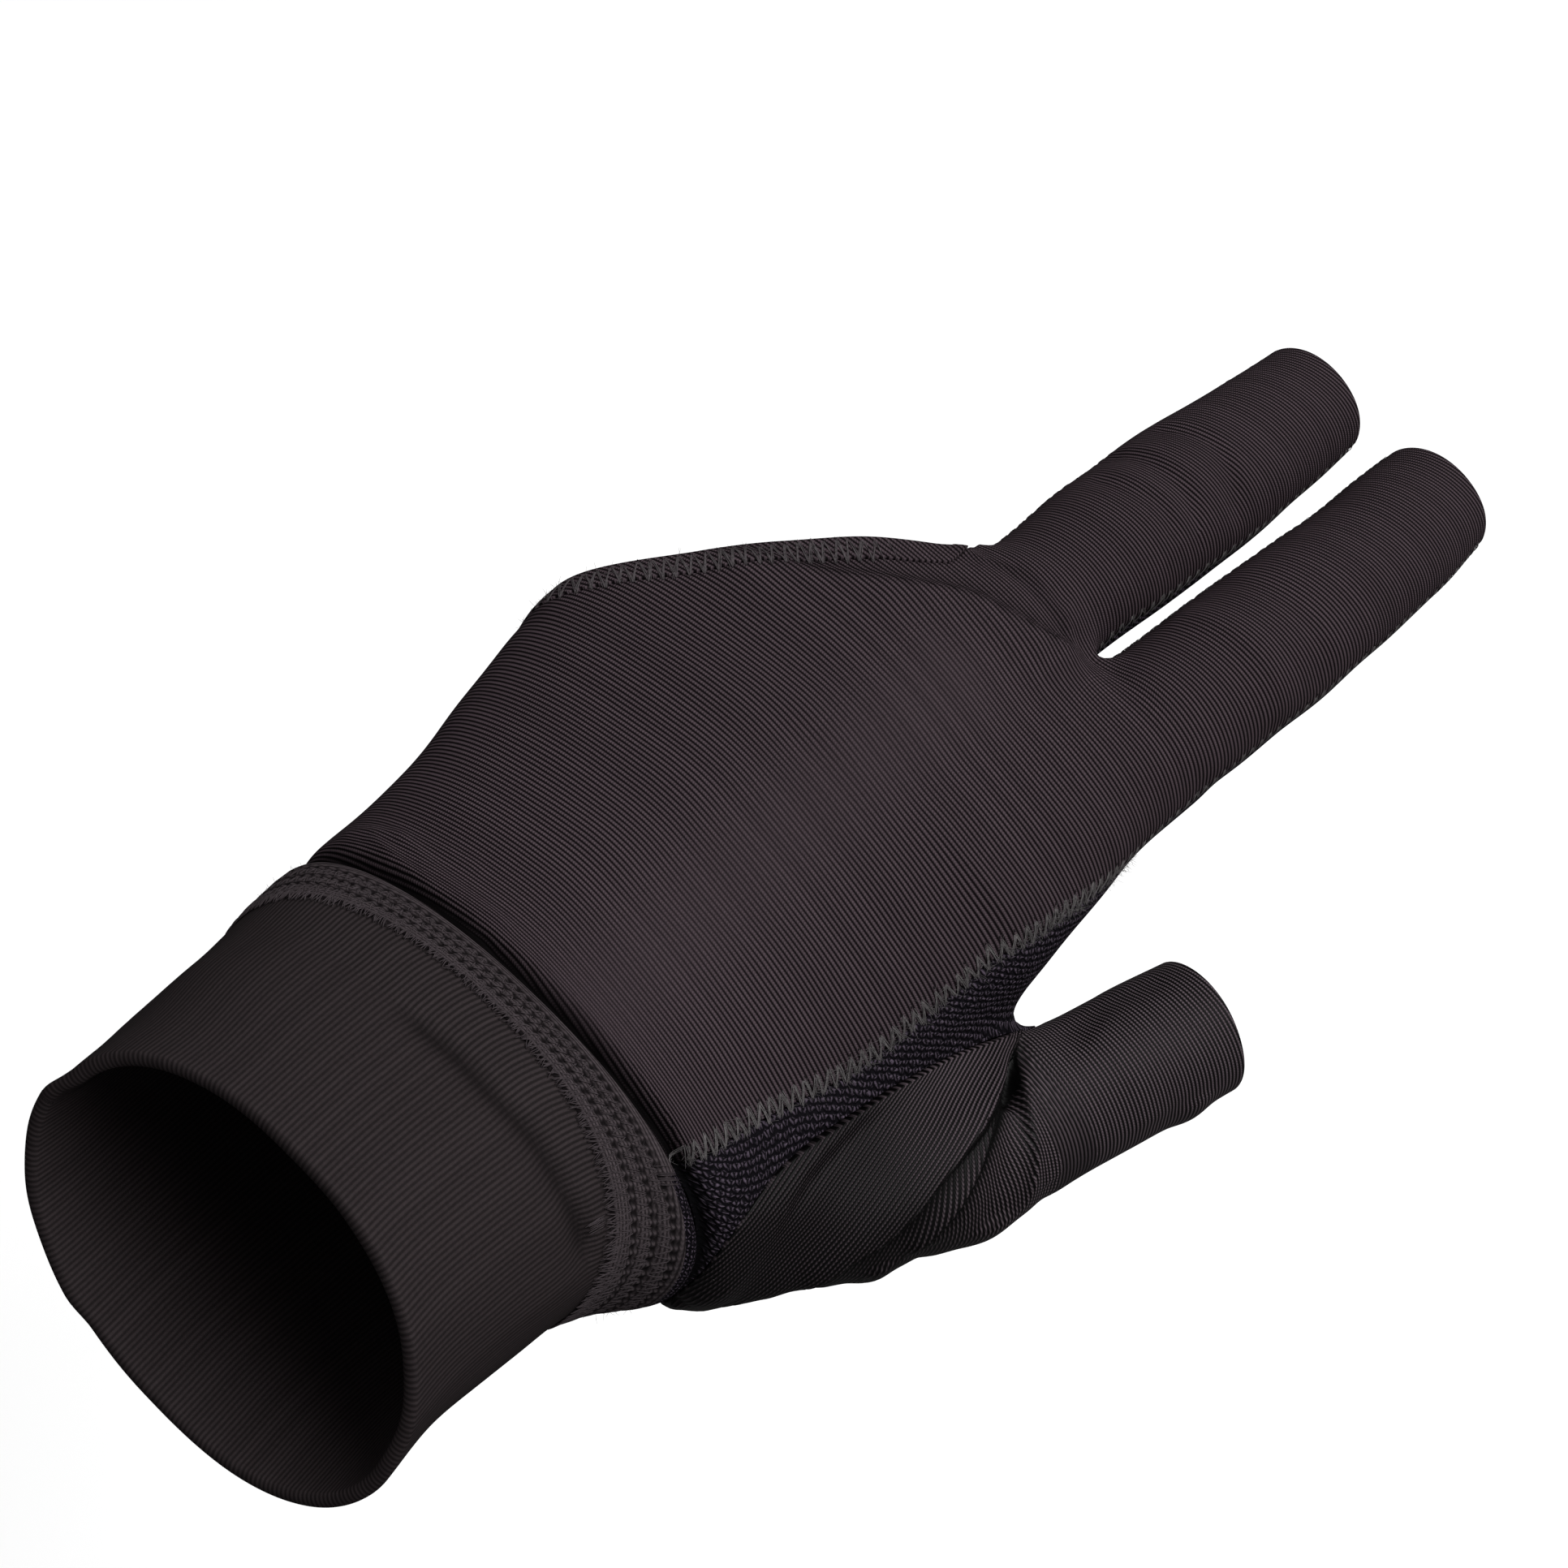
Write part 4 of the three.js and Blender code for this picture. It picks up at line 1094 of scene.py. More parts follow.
band_angles, band_arc = around_wrist(BAND_ROUND, 0.0)
band_start = edge_round_wrist("band start", band_angles)
band_end = edge_round_wrist("band end", band_angles)
band_out = [(s, BAND_RISE - under) for s, under in CORNER]
band_out += [(s, BAND_RISE) for s in np.linspace(FLAT_FROM, ROLL_FROM, 36)]
band_out += [(s, BAND_RISE - ROLL_DEPTH * (s - ROLL_FROM) ** 1.5) for s in np.linspace(0.88, 1.0, 9)]
band_profile = np.array(band_out + [(s, -BAND_CLOTH) for s in np.linspace(1, 0, 8)])
share = band_profile[:, :1]
along_band = share * (band_end - band_start)
x = band_start + (band_end - band_start) * share
rise = np.repeat(band_profile[:, 1:], BAND_ROUND, 1)
outside = rise > -BAND_CLOTH
holes = int(band_arc[-1] / HOLE_PITCH)
turns = np.arange(BAND_ROUND) / BAND_ROUND * holes
hole_and_painted_shade = np.zeros_like(x)
for number, row in enumerate(HOLE_ROWS):
    off_hole = ((turns + 0.5 * number + 0.5) % 1 - 0.5) * HOLE_PITCH
    away = np.hypot(off_hole, (share - row) * (band_end - band_start))
    hole_and_painted_shade = np.maximum(hole_and_painted_shade, outside * bell(away / HOLE_SIZE))
rise = rise - HOLE_DEPTH * hole_and_painted_shade - outside * STRIP_DROP * ramp(share, STRIP_FROM, STRIP_STEP)
rise = rise + band_hang(band_angles) * outside * share
# painted shade on the band's last edge, where it rolls down into the crease of the wrist
hole_and_painted_shade = np.maximum(hole_and_painted_shade, EDGE_SHADE * outside * ramp(share, EDGE_SHADE_FROM, EDGE_SHADE_OVER))
band_points, _ = ring_points(x, np.broadcast_to(band_angles, x.shape), rise)
band_points = band_points.reshape(-1, 3)
band_ribs = np.stack([along_band / BAND_RIB, np.broadcast_to(band_arc, x.shape), hole_and_painted_shade], -1).reshape(-1, 3)
band_faces = loft_faces(len(band_profile), BAND_ROUND)
face_ring, face_place = np.divmod(np.arange(len(band_faces)), BAND_ROUND)
face_angle = band_angles[face_place]
on_palm_side = (face_angle > SEAM_ANGLE) & (face_angle < OTHER_SEAM_ANGLE)
mesh_strip = (band_profile[face_ring, 0] > STRIP_FROM) & on_palm_side
print("band: %d rings, %d holes in a row" % (len(band_profile), holes))

# %% [markdown]
# Everything here is black cloth, so the look is all in the fine relief. In Blender's shader editor one
# builds a small machine out of boxes for that. What several materials share is made once as a node group,
# with named sockets, like a small tool of one's own: one group for the ribs and one for the open mesh of
# the palm.

# %% Helpers for shader nodes
TURN = 2 * math.pi


def put(tree, socket, value):
    """Gives a socket its value: a number or colour is set, another socket is linked, None is skipped."""
    if isinstance(value, bpy.types.NodeSocket):
        tree.links.new(value, socket)
    elif value is not None:
        socket.default_value = value


def place(tree, kind, *values, **settings):
    """A node with its settings and its first inputs."""
    node = tree.nodes.new(kind)
    for name, value in settings.items():
        setattr(node, name, value)
    for socket, value in zip(node.inputs, values):
        put(tree, socket, value)
    return node


def calc(tree, operation, *values):
    return place(tree, "ShaderNodeMath", *values, operation=operation).outputs[0]


def wave(tree, turns, height=0.5, middle=0.5):
    """A cosine wave with one ridge for each whole turn."""
    cosine = calc(tree, "COSINE", calc(tree, "MULTIPLY", turns, TURN))
    return calc(tree, "MULTIPLY_ADD", cosine, height, middle)


def mixed(tree, factor, a, b):
    """Colour a where the factor is 0, colour b where it is 1."""
    node = place(tree, "ShaderNodeMix", factor, data_type="RGBA")
    put(tree, node.inputs["A"], a)
    put(tree, node.inputs["B"], b)
    return node.outputs["Result"]


def new_group(name, inputs, outputs):
    tree = bpy.data.node_groups.new(name, "ShaderNodeTree")
    for label, value in inputs:
        socket = tree.interface.new_socket(label, in_out="INPUT", socket_type="NodeSocketFloat")
        if value is not None:
            socket.default_value = value
    for label in outputs:
        tree.interface.new_socket(label, in_out="OUTPUT", socket_type="NodeSocketFloat")
    return tree, tree.nodes.new("NodeGroupInput").outputs, tree.nodes.new("NodeGroupOutput").inputs


def use_group(tree, group, values):
    node = tree.nodes.new("ShaderNodeGroup")
    node.node_tree = group
    for label, value in values.items():
        put(tree, node.inputs[label], value)
    return node.outputs


def new_material(name, roughness, gloss):
    """A material with its node tree and its shader."""
    material = bpy.data.materials.new(name)
    material.use_nodes = True
    shader = material.node_tree.nodes["Principled BSDF"]
    shader.inputs["Roughness"].default_value = roughness
    shader.inputs["Specular IOR Level"].default_value = gloss
    return material, material.node_tree, shader


# %% [markdown]
# Each rib of the knit is a column of loops: a rounded ridge with a groove on either side, which the
# materials paint dark as shade, crossed by the two slanted legs of every stitch. A cosine makes the ridges,
# and a second one, whose phase shifts from the middle of the ridge to its sides, makes the stitches lean
# like the two sides of a letter V. Over the middle of the hand, its crown, the grooves are made shallow and
# their painted shade lighter, where the light falls straight into them.

# %% Node group for ribs
V_LEAN = 1.3
CROWN_HEIGHT, CROWN_FADE = 0.43, 0.04
TONE, TONE_OF_RIB, TONE_OF_SPECKLE = 0.62, 0.16, 0.6
ribs_group, g, out = new_group("rib stitches", [
    ("Rib", None), ("Along", None), ("Stitch", 0.36), ("Stitch depth", 0.3), ("Waver", 0.1),
    ("Groove", 0.6), ("Crown", 0.0), ("Crown middle", -8.0), ("Crown width", 13.0),
    ("Crown ends at rib", 165.0),
], ["Height", "Tone"])
t = ribs_group
where = place(t, "ShaderNodeCombineXYZ", g["Rib"], g["Along"])
wobble = place(t, "ShaderNodeTexNoise", where.outputs[0], None, 0.22, 2.0).outputs[0]
rib = calc(t, "MULTIPLY_ADD", wobble, g["Waver"], g["Rib"])
ridge = calc(t, "POWER", wave(t, rib), g["Groove"])
aside = calc(t, "PINGPONG", rib, 0.5)
phase = calc(t, "MULTIPLY_ADD", aside, V_LEAN, calc(t, "DIVIDE", g["Along"], g["Stitch"]))
dip = calc(t, "MULTIPLY", calc(t, "SUBTRACT", 1.0, wave(t, phase)), g["Stitch depth"])
rounded = calc(t, "MULTIPLY", ridge, calc(t, "SUBTRACT", 1.0, dip))
off_crown = calc(t, "DIVIDE", calc(t, "SUBTRACT", g["Along"], g["Crown middle"]), g["Crown width"])
off_crown = calc(t, "MULTIPLY", calc(t, "MULTIPLY", off_crown, off_crown), -1.0)
crown = calc(t, "MULTIPLY", g["Crown"], calc(t, "EXPONENT", off_crown))
past_crown = calc(t, "MULTIPLY", calc(t, "SUBTRACT", g["Rib"], g["Crown ends at rib"]), CROWN_FADE)
past_crown = place(t, "ShaderNodeClamp", past_crown).outputs[0]
crown = calc(t, "MULTIPLY", crown, calc(t, "SUBTRACT", 1.0, past_crown))
flatter = calc(t, "MULTIPLY_ADD", calc(t, "SUBTRACT", CROWN_HEIGHT, rounded), crown, rounded)
t.links.new(flatter, out["Height"])
each = place(t, "ShaderNodeTexWhiteNoise", None, calc(t, "ROUND", rib), noise_dimensions="1D").outputs[0]
speckle = place(t, "ShaderNodeTexNoise", where.outputs[0], None, 1.9, 3.0).outputs[0]
speckle = calc(t, "MULTIPLY", speckle, TONE_OF_SPECKLE)
tone = calc(t, "ADD", calc(t, "MULTIPLY_ADD", each, TONE_OF_RIB, TONE), speckle)
t.links.new(tone, out["Tone"])
print("node group:", ribs_group.name, len(ribs_group.nodes), "nodes")

# %% [markdown]
# The palm is an open mesh. Its rows are chains of small slanted legs, like a line of letters V, with dark
# gaps between the rows. Each row is shifted against the last, and they waver because such a knit never lies
# quite straight.

# %% Node group for the open mesh
ROW_SHIFT = 0.37  # of a knob, from one row to the next
BEAD_HEIGHT, BEAD_MIDDLE = -0.4, 0.6
mesh_group, g, out = new_group("mesh chains", [
    ("Rib", None), ("Along", None), ("Knob", 1.3), ("Zigzag", 0.7), ("Waver", 1.1),
], ["Height", "Tone"])
t = mesh_group
where = place(t, "ShaderNodeCombineXYZ", g["Rib"], g["Along"])
wobble = place(t, "ShaderNodeTexNoise", where.outputs[0], None, 0.7, 3.0).outputs[0]
waver = calc(t, "MULTIPLY", wobble, g["Waver"])
shifted = calc(t, "MULTIPLY", calc(t, "ROUND", calc(t, "ADD", g["Rib"], waver)), ROW_SHIFT)
knob = calc(t, "ADD", calc(t, "ADD", calc(t, "DIVIDE", g["Along"], g["Knob"]), waver), shifted)
legs = calc(t, "MULTIPLY", calc(t, "PINGPONG", knob, 0.5), g["Zigzag"])
row = calc(t, "ADD", calc(t, "ADD", g["Rib"], waver), legs)
beads = wave(t, calc(t, "MULTIPLY", knob, 2.0), BEAD_HEIGHT, BEAD_MIDDLE)
t.links.new(calc(t, "MULTIPLY", wave(t, row), beads), out["Height"])
speckle = place(t, "ShaderNodeTexNoise", where.outputs[0], None, 1.7, 3.0).outputs[0]
t.links.new(calc(t, "MULTIPLY_ADD", speckle, 1.6, 0.2), out["Tone"])
print("node group:", mesh_group.name, len(mesh_group.nodes), "nodes")

# %% [markdown]
# Black cloth is never quite clean. A few specks of pale lint sit on it, and they tell the eye how large the
# glove is. The group gives a mask: cells of about four millimetres, of which only a few hold a speck.

# %% Node group for lint
SPECK_SIZE, SPECK_SPREAD = 0.012, 0.022
lint_group, g, out = new_group("lint", [("Cells per metre", 230.0), ("Share", 0.03)], ["Mask"])
t = lint_group
spot = place(t, "ShaderNodeTexCoord").outputs["Object"]
cells = place(t, "ShaderNodeTexVoronoi", spot, None, g["Cells per metre"])
picked = place(t, "ShaderNodeSeparateXYZ", cells.outputs["Color"])
holds = calc(t, "LESS_THAN", picked.outputs[0], g["Share"])
size = calc(t, "MULTIPLY_ADD", picked.outputs[1], SPECK_SPREAD, SPECK_SIZE)
t.links.new(calc(t, "MULTIPLY", holds, calc(t, "LESS_THAN", cells.outputs["Distance"], size)), out["Mask"])


# %% [markdown]
# The knits differ in pitch, depth and gloss only, so one function makes them all. Black cloth hardly
# scatters light, and what one sees is mostly the ridge tops against dark grooves, so the grooves are painted
# dark as shade and the relief steers the colour. The third number of "knit" paints more shade on top.

# %% Materials of the knits
LINT = (0.30, 0.27, 0.26, 1)
SHADE_SHARE = -0.75
GROOVE_HEIGHT, RIDGE_HEIGHT = 0.2, 0.74


def knit_material(name, group, ridge_colour, groove_shade_colour, roughness, gloss, relief, settings):
    material, t, cloth = new_material(name, roughness, gloss)
    attribute = place(t, "ShaderNodeAttribute", attribute_name="knit")
    knit = place(t, "ShaderNodeSeparateXYZ", attribute.outputs["Vector"])
    stitches = use_group(t, group, {"Rib": knit.outputs[0], "Along": knit.outputs[1], **settings})
    # the third number of knit is painted shade: it lowers the ridges and darkens the tone
    shade_squared = calc(t, "MULTIPLY", knit.outputs[2], knit.outputs[2])
    height = calc(t, "MULTIPLY", stitches["Height"], calc(t, "SUBTRACT", 1.0, shade_squared))
    tone = calc(t, "MULTIPLY", stitches["Tone"], calc(t, "MULTIPLY_ADD", knit.outputs[2], SHADE_SHARE, 1.0))
    top = place(t, "ShaderNodeMapRange", height, GROOVE_HEIGHT, RIDGE_HEIGHT).outputs[0]
    # the grooves take the groove colour, which is painted shade
    body = mixed(t, top, (*groove_shade_colour, 1), (*ridge_colour, 1))
    toned = place(t, "ShaderNodeVectorMath", body, operation="SCALE")
    put(t, toned.inputs["Scale"], tone)
    specks = mixed(t, use_group(t, lint_group, {})["Mask"], toned.outputs[0], LINT)
    put(t, cloth.inputs["Base Color"], specks)
    bump = place(t, "ShaderNodeBump", 1.0, relief)
    put(t, bump.inputs["Height"], height)
    put(t, cloth.inputs["Normal"], bump.outputs[0])
    return material


# the second colour of each knit is the painted shade of its grooves
rib_cloth = knit_material(
    "ribbed knit of the back", ribs_group, (0.0560, 0.0415, 0.0482), (0.003, 0.002, 0.0025),
    0.75, 0.03, 0.00024, {"Stitch": 0.36, "Stitch depth": 0.4, "Groove": 0.75, "Crown": 0.6})
cuff_cloth = knit_material(
    "fine rib of the cuff", ribs_group, (0.0200, 0.0157, 0.0167), (0.0096, 0.0075, 0.0080),
    0.8, 0.04, 0.00003, {"Stitch": 0.36, "Stitch depth": 0.2, "Groove": 0.9, "Waver": 0.05})
pulled_cloth = knit_material(
    "cuff pulled tight beside the band", ribs_group, (0.0218, 0.0173, 0.0184), (0.0086, 0.0068, 0.0072),
    0.8, 0.04, 0.00004, {"Stitch depth": 0.2, "Groove": 0.9})
band_cloth = knit_material(
    "mat of thread on the band", ribs_group, (0.0430, 0.0350, 0.0380), (0.012, 0.0095, 0.0105),
    0.85, 0.04, 0.00008, {"Stitch": 0.75, "Stitch depth": 0.4, "Groove": 0.6, "Waver": 0.6})
thumb_cloth = knit_material(
    "smooth knit of the thumb", ribs_group, (0.0760, 0.0590, 0.0680), (0.0008, 0.0006, 0.0007),
    0.5, 0.08, 0.00020, {"Stitch": 0.42, "Stitch depth": 0.5, "Waver": 0.2, "Groove": 1.1})
mesh_cloth = knit_material(
    "open mesh of the palm", mesh_group, (0.056, 0.044, 0.060), (0.0020, 0.0016, 0.0026),
    0.8, 0.04, 0.00045, {"Knob": 1.3, "Zigzag": 1.0})
for material in (rib_cloth, cuff_cloth, pulled_cloth, band_cloth, thumb_cloth, mesh_cloth):
    print("material:", material.name)

# %% [markdown]
# Now the pieces themselves. The stall is split finer along its three sharp edges and the panels beside the
# band, and then every panel gets its folds, its wall and its knit.

# %% The four panels of the hand
SPLIT_PAST_BAND, SPLIT_AT_OPENING = 4.5, 1.8
FLAP_REACH, UNDER_FLAP_REACH, CREASE_REACH = 3.2, 2.6, 1.6
HEM_RISE = 0.2
panel_seams = [above_side_seam, in_gusset]


def near_band(p):
    return past_band(p) < SPLIT_PAST_BAND


at_flap = near_line(FLAP_EDGE, FLAP_REACH)
under_flap = near_line(FLAP_UNDER_EDGE, UNDER_FLAP_REACH)
stall = split(stall, at_flap)
stall = split(stall, lambda p: under_flap(p) & ~at_flap(p))
stall = split(stall, near_line(THUMB_CREASE, CREASE_REACH))
back, palm = split(back, near_band), split(palm, near_band)
hem = split(hem, lambda p: past_opening(p) > -SPLIT_AT_OPENING)

panel("back_panel_knit", "back_panel", back, hand_folds, panel_seams, hand_knit, rib_cloth)
panel("palm_panel_knit", "palm_panel", palm, hand_folds, panel_seams, palm_knit, mesh_cloth)
panel("thumb_stall_knit", "thumb_stall", stall, thumb_folds, [in_gusset],
      thumb_knit, thumb_cloth)
panel("opening_hem_knit", "opening_hem", hem, hand_folds, [], hand_knit, rib_cloth, HEM_RISE)

# %% The cuff and the band
add_piece("cuff_knit", "cuff", cuff_points, cuff_faces, cuff_ribs,
          cuff_cloth, pulled_cloth, beside_band)
add_piece("join_band_knit", "join_band", band_points, band_faces, band_ribs,
          band_cloth, mesh_cloth, mesh_strip)

# %% [markdown]
# The seams of this glove are the liveliest thing on it: zigzags of fuzzy thread that lie on top of the
# cloth. A bump could only hint at them, so each leg of a zigzag is three to six real strands, and fine
# hairs stick out. In Blender a curve with a bevel makes one strand. For thousands, one mesh of thin tubes
# is far quicker.

# %% Many thin tubes in one mesh
STRAND, BAND_STRAND, HAIR, STUB = (0.05, 4), (0.055, 4), (0.02, 3), (0.2, 6)  # radius and sides of a tube

END_TAPER = 0.55


def tubes(lines, normals, radius, sides):
    """A closed tube round each line. lines: tubes x steps x 3, normals: tubes x 3."""
    count, steps, _ = lines.shape
    forward = unit(np.gradient(lines, axis=1))
    side = unit(np.cross(forward, normals[:, None]))
    rise = np.cross(side, forward)
    angle = np.arange(sides) / sides * 2 * np.pi
    taper = np.ones(steps)
    taper[[0, -1]] = END_TAPER
    ring = side[:, :, None] * np.cos(angle)[:, None] + rise[:, :, None] * np.sin(angle)[:, None]
    points = lines[:, :, None] + ring * (radius * taper)[:, None, None]
    start = np.arange(count)[:, None, None] * steps * sides
    s, a = np.arange(steps - 1)[:, None], np.arange(sides)
    b = (a + 1) % sides
    near, far = s * sides, (s + 1) * sides
    quads = np.stack([near + a, near + b, far + b, far + a], -1).reshape(1, -1, 4) + start
    quads = quads.reshape(-1, 4)
    last = (steps - 1) * sides
    ends = []
    for i in range(1, sides - 1):
        ends += [[0, i + 1, i], [last, last + i, last + i + 1]]
    ends = (np.array(ends)[None] + start).reshape(-1, 3)
    return points.reshape(-1, 3), np.vstack([quads[:, [0, 1, 2]], quads[:, [0, 2, 3]], ends])


def joined(meshes):
    shift = np.cumsum([0] + [len(points) for points, _ in meshes])
    return np.vstack([m[0] for m in meshes]), np.vstack([m[1] + k for m, k in zip(meshes, shift)])


# %% [markdown]
# A seam's line needn't be drawn again: it is the edge of the cut panel. The loose edges beside the seam are
# strung together into a line, the line is smoothed, and even steps along it give the places of the
# stitches.

# %% Lines along the seams
SHORTEST_LINE = 12.0
SMOOTHINGS = 12
THREAD_SUNK, STUB_SUNK, STUB_LENGTH, STUB_SPREAD = 0.1, 0.12, 0.5, 0.12
HAIR_SPREAD, HAIR_BEND = 0.6, 0.35
rng = np.random.default_rng(7)


def strings(piece, beside):
    """The edges of a cut panel that lie beside a seam, strung together and smoothed into lines."""
    points, faces = piece
    edges = rim_edges(faces)
    edges = edges[beside(points[edges].mean(1))]
    after = dict(edges.tolist())
    found = []
    for here in sorted(set(after) - set(after.values())):
        chain = [here]
        while here in after:
            here = after[here]
            chain.append(here)
        line = points[chain]
        for _ in range(SMOOTHINGS):
            line[1:-1] = 0.5 * line[1:-1] + 0.25 * (line[:-2] + line[2:])
        length = far_along(line)[-1]
        if length > SHORTEST_LINE:
            found.append(line)
            print("seam line of %.0f mm" % length)
    return found


def steps_along(line, pitch):
    far = far_along(line)
    at = np.arange(0.5 * pitch, far[-1], pitch)
    return np.stack([np.interp(at, far, line[:, k]) for k in range(3)], 1)


def zigzag(line, pitch, lift_at, strands, inner, outer, hump, spread):
    """Strands from side to side of a line: lines of seven points each, and the cloth's normals there."""
    middle = steps_along(line, pitch / 2)
    ahead = unit(np.gradient(middle, axis=0))
    normal = form_normals(middle)
    into = unit(np.cross(normal, ahead))
    turns = np.where(np.arange(len(middle)) % 2, inner, outer)[:, None]
    tips = onto_form(middle + into * turns + rng.normal(0, spread, middle.shape) * 0.6)
    start, stop = np.repeat(tips[:-1], strands, 0), np.repeat(tips[1:], strands, 0)
    start = start + rng.normal(0, spread, start.shape)
    stop = stop + rng.normal(0, spread, stop.shape)
    t = np.linspace(0, 1, 7)[None, :, None]
    lines = start[:, None] * (1 - t) + stop[:, None] * t
    flat = onto_form(lines.reshape(-1, 3))
    up = form_normals(flat)
    height = lift_at(flat, up).reshape(lines.shape[:2]) + hump * np.sin(np.pi * t[..., 0]) - THREAD_SUNK
    lines = flat.reshape(lines.shape) + up.reshape(lines.shape) * height[..., None]
    return lines, up.reshape(lines.shape)[:, 3]


def fuzz(lines, normals, number, length):
    """Short bent hairs that start somewhere on the strands."""
    pick = rng.integers(0, len(lines), number)
    spot = rng.uniform(0.1, 0.9, number) * (lines.shape[1] - 1)
    low = spot.astype(int)
    base = lines[pick, low] + (lines[pick, low + 1] - lines[pick, low]) * (spot - low)[:, None]
    aim = unit(normals[pick] * rng.uniform(0.1, 0.9, (number, 1)) + rng.normal(0, HAIR_SPREAD, (number, 3)))
    bend = rng.normal(0, HAIR_BEND, (number, 3))
    t = np.linspace(0, 1, 4)[None, :, None]
    size = (length * rng.uniform(0.5, 1.3, number))[:, None, None]
    hairs = base[:, None] + size * (aim[:, None] * t + bend[:, None] * t ** 2)
    return tubes(hairs, unit(np.cross(aim, bend + 0.01)), *HAIR)


def needle_dives(line, pitch, lift_at, inner):
    """Where a zigzag turns on the ribbed side, the thread dives into the cloth: a short stub painted near
    black as the shade of its hole.
    """
    middle = steps_along(line, pitch / 2)[1::2]
    normal = form_normals(middle)
    into = unit(np.cross(normal, unit(np.gradient(middle, axis=0))))
    spot = onto_form(middle + into * inner + rng.normal(0, STUB_SPREAD, middle.shape))
    up = form_normals(spot)
    t = np.linspace(-0.5, 0.5, 3)[None, :, None]
    lines = (spot + up * (lift_at(spot, up) - STUB_SUNK)[:, None])[:, None] + into[:, None] * STUB_LENGTH * t
    return tubes(lines, up, *STUB)


# %% Threads of the glove
def thread_material(name, colour):
    material, t, thread = new_material(name, 0.8, 0.1)
    spot = place(t, "ShaderNodeTexCoord").outputs["Object"]
    fibres = place(t, "ShaderNodeTexNoise", spot, None, 2600.0, 2.0).outputs[0]
    dark, pale = [(*(share * c for c in colour), 1) for share in (0.35, 1.5)]
    put(t, thread.inputs["Base Color"], mixed(t, fibres, dark, pale))
    return material


def add_threads(name, meshes, material):
    points, faces = joined(meshes)
    add_piece(name, None, points, faces, None, material)


def hand_lift(p, normals):
    return lifted(p, normals, hand_folds, panel_seams)


def hem_lift(p, normals):
    return lifted(p, normals, hand_folds, [], HEM_RISE)


grey_thread = thread_material("fuzzy grey thread", (0.085, 0.079, 0.080))
dim_thread = thread_material("fuzzy dark grey thread", (0.056, 0.049, 0.052))
black_thread = thread_material("fuzzy black thread", (0.036, 0.029, 0.032))
# a near black material: painted shade where the thread dives into the cloth
dive_shade_thread = thread_material("thread painted in shade where it dives", (0.004, 0.003, 0.0035))

SIDE_PITCH, HEM_PITCH = 1.85, 1.7
FUZZY_TO = 84  # beyond the knuckle the seam is pulled tight and lies on the finger's side
HEM_SEWN_TO = 85  # nearer the middle finger the hem is only folded
THUMB_SIDE_SEAM = -20
BESIDE_SEAM, BESIDE_OPENING = 1.0, 0.9
meshes, dives = [], []
for line in strings(back, lambda p: np.abs(above_side_seam(p)) < BESIDE_SEAM):
    on_thumb_side = line[:, 1].mean() < THUMB_SIDE_SEAM
    lines, normals = zigzag(line, SIDE_PITCH, hand_lift, strands=6 if on_thumb_side else 3,
                            inner=2.2, outer=-1.0, hump=0.25, spread=0.17)
    meshes.append(tubes(lines, normals, *STRAND))
    loose = lines[:, 3, 0] < FUZZY_TO
    if on_thumb_side and loose.any():
        meshes.append(fuzz(lines[loose], normals[loose], 3 * loose.sum(), length=0.9))
        dives.append(needle_dives(line, SIDE_PITCH, hand_lift, inner=2.45))
add_threads("side_seam_thread", meshes, grey_thread)
add_threads("needle_dives", dives, dive_shade_thread)

meshes = []
for line in strings(hem, lambda p: past_opening(p) > -BESIDE_OPENING):
    lines, normals = zigzag(line, HEM_PITCH, hem_lift, strands=6,
                            inner=3.9, outer=0.15, hump=0.2, spread=0.13)
    sewn = lines[:, 3, 0] < HEM_SEWN_TO + rng.normal(0, 1.2, len(lines))
    lines, normals = lines[sewn], normals[sewn]
    meshes += [tubes(lines, normals, *STRAND), fuzz(lines, normals, len(lines), length=0.7)]
add_threads("hem_thread", meshes, dim_thread)

# %% [markdown]
# On the band the thread runs from hole to hole: from each hole of one row to the two nearest of the next.
# The mat beside the cuff is one more zigzag. Where the side seam ends on the band, and below it on the
# cuff, a few stitches back and forth lock the seam: a bartack.

# %% Threads of the band
LEAN, ROW_SPREAD = 0.5, 0.12
STRAND_HUMP, STRAND_SUNK = 0.10, 0.03


def band_place(turn, row, rise):
    """Points on the band at a number of holes round the wrist and a share of its width."""
    closed_angles = np.append(band_angles, 2 * np.pi)
    angle = np.interp(turn / holes % 1 * BAND_ROUND, np.arange(BAND_ROUND + 1), closed_angles)
    start, end = edge_round_wrist("band start", angle), edge_round_wrist("band end", angle)
    hang = band_hang(angle) * np.clip(row, 0, 1)
    return ring_points(start + (end - start) * row, angle, BAND_RISE + hang + rise)


def band_strands(first_row, second_row, strands, spread, drop):
    """Strands from one row of holes to the next: lines of six points each, and the cloth's normals."""
    turn = np.repeat(np.arange(holes), 2 * strands).astype(float)
    lean = np.tile(np.repeat([-LEAN, LEAN], strands), holes)
    jitter = rng.normal(0, spread, (4, len(turn)))
    lines = []
    for t in np.linspace(0.2, 0.8, 6):
        row = (first_row + jitter[0] * ROW_SPREAD) * (1 - t) + (second_row + jitter[1] * ROW_SPREAD) * t
        along = turn + lean * t + jitter[2] * (1 - t) + jitter[3] * t
        rise = STRAND_HUMP * math.sin(math.pi * t) - STRAND_SUNK - drop * (1 - t) ** 2 + 0 * turn
        points, normal = band_place(along, row, rise)
        lines.append(points)
    return np.stack(lines, 1), normal


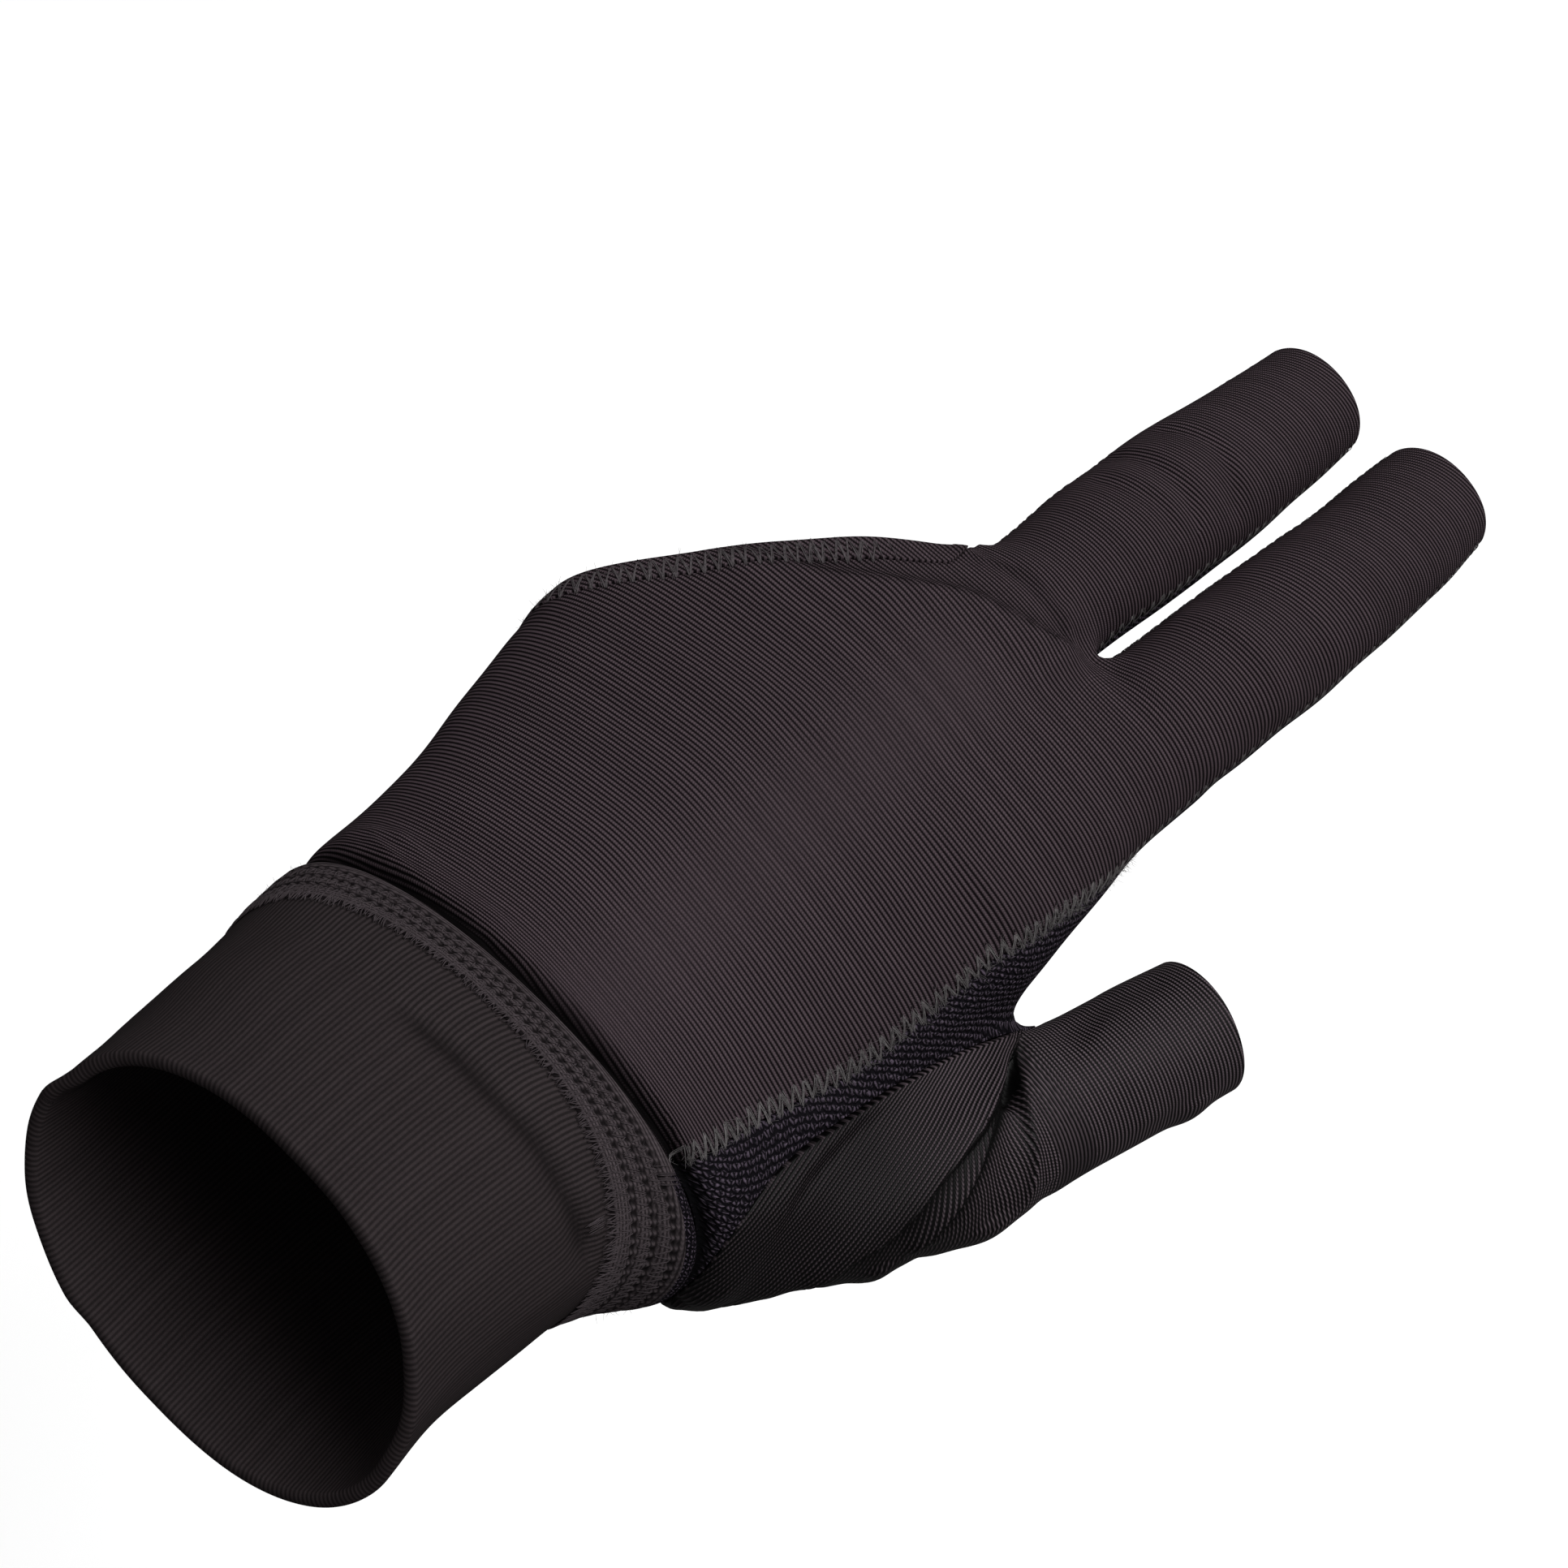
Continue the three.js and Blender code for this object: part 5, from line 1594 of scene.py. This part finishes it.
meshes = []
for first, second, strands, spread, drop in (
    # rows that the strands join, strands at each hole, spread, and how far they hang down to the cuff
    (-0.18, 0.16, 5, 0.3, 0.5),
    (0.03, HOLE_ROWS[0], 3, 0.10, 0),
    (*HOLE_ROWS[:2], 3, 0.10, 0),
    (*HOLE_ROWS[1:], 3, 0.10, 0),
):
    lines, normals = band_strands(first, second, strands, spread, drop)
    meshes.append(tubes(lines, normals, *BAND_STRAND))
meshes.append(fuzz(lines, normals, 500, length=0.7))
add_threads("band_thread", meshes, black_thread)

TUFT_STRANDS, TUFT_HUMP = 12, 0.12


def tuft(angle, x_from, x_to, rise, spread):
    """Loose strands side by side along the arm."""
    t = np.linspace(0, 1, 6)
    angles = angle + rng.normal(0, spread, (TUFT_STRANDS, 1)) + np.zeros((1, 6))
    x = t * (x_to - x_from) + x_from + rng.normal(0, 0.25, (TUFT_STRANDS, 1))
    height = rise + TUFT_HUMP * np.sin(np.pi * t) + rng.uniform(0, 0.1, x.shape)
    points, normal = ring_points(x, angles, height)
    return points, normal[:, 3]


LOCK_ANGLE, LOCK_FROM, LOCK_TO = math.radians(149), -4.0, -1.3
KNOT_TURN, KNOT_FROM, KNOT_TO = 0.05, -3.6, -1.4
lock_x = float(edge_round_wrist("band start", LOCK_ANGLE))
seam_x = float(edge_round_wrist("band end", SEAM_ANGLE))
lock_spot, lock_normal = ring_points(np.array([lock_x - 2.6]), np.array([LOCK_ANGLE]), np.array([CUFF_RISE]))
lock_rise = CUFF_RISE + float((fold_lift(lock_spot, lock_normal, cuff_folds) + slack(lock_spot))[0])
meshes = []
for strand, *where in (
    # kind of strand, angle, from, to, height and spread of the angle
    (BAND_STRAND, LOCK_ANGLE, lock_x + LOCK_FROM, lock_x + LOCK_TO, lock_rise, 0.02),
    (STRAND, SEAM_ANGLE + KNOT_TURN, seam_x + KNOT_FROM, seam_x + KNOT_TO, BAND_RISE + 0.1, 0.035),
):
    lines, normals = tuft(*where)
    meshes += [tubes(lines, normals, *strand), fuzz(lines, normals, 14, length=0.8)]
add_threads("lock_stitches", meshes, black_thread)

# %% [markdown]
# Blender's own view transform, AgX, lifts the darks and dims the whites. The photograph has deep blacks on
# pure white, so the plain Standard view is chosen. The stage is plain: a pale floor, one large soft light
# and a room that glows a little. On a real table in a studio the floor throws little light up under the
# thumb, because the bright backdrop is far away. The Light Path node lets the floor show pale to the camera
# and give the glove only a part of its light.

# %% Floor and light
FLOOR_HEIGHT, FLOOR_REACH = -600.0, 3000.0
LIGHT_PLACE, LIGHT_SIZE, LIGHT_POWER = (500, -450, 1750), 1200, 54
ROOM_LIGHT = 0.35

scene = bpy.context.scene
floor_mesh = bpy.data.meshes.new("floor")
corners = ((-1, -1), (1, -1), (1, 1), (-1, 1))
corners = [(x * FLOOR_REACH, y * FLOOR_REACH, FLOOR_HEIGHT) for x, y in corners]
floor_mesh.from_pydata([Vector(corner) * MM for corner in corners], [], [(0, 1, 2, 3)])
floor = bpy.data.objects.new("floor", floor_mesh)
scene.collection.objects.link(floor)
floor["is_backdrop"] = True
pale, t, shader = new_material("pale floor", 0.9, 0.0)
to_camera = place(t, "ShaderNodeLightPath").outputs["Is Camera Ray"]
put(t, shader.inputs["Base Color"], mixed(t, to_camera, (0.08, 0.08, 0.08, 1), (0.94, 0.94, 0.94, 1)))
floor_mesh.materials.append(pale)

light = bpy.data.lights.new("light from above", "AREA")
light.size, light.energy = LIGHT_SIZE * MM, LIGHT_POWER
lamp = bpy.data.objects.new("light from above", light)
spot = Vector(LIGHT_PLACE) * MM
aim = (LOOK_AT - spot).to_track_quat("-Z", "Y").to_matrix().to_4x4()
lamp.matrix_world = Matrix.Translation(spot) @ aim
scene.collection.objects.link(lamp)

scene.view_settings.view_transform = "Standard"
world = bpy.data.worlds.new("soft room")
scene.world = world
world.use_nodes = True
world.node_tree.nodes["Background"].inputs["Color"].default_value = (1, 1, 1, 1)
world.node_tree.nodes["Background"].inputs["Strength"].default_value = ROOM_LIGHT
print("floor %d mm down, light of %d mm" % (-FLOOR_HEIGHT, LIGHT_SIZE))

# %% [markdown]
# Last, the size of what is seen is measured and printed.

# %% Finish
dressed_low, dressed_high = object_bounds()
print_box("packed", cad_low, cad_high)
print_box("dressed", dressed_low, dressed_high)
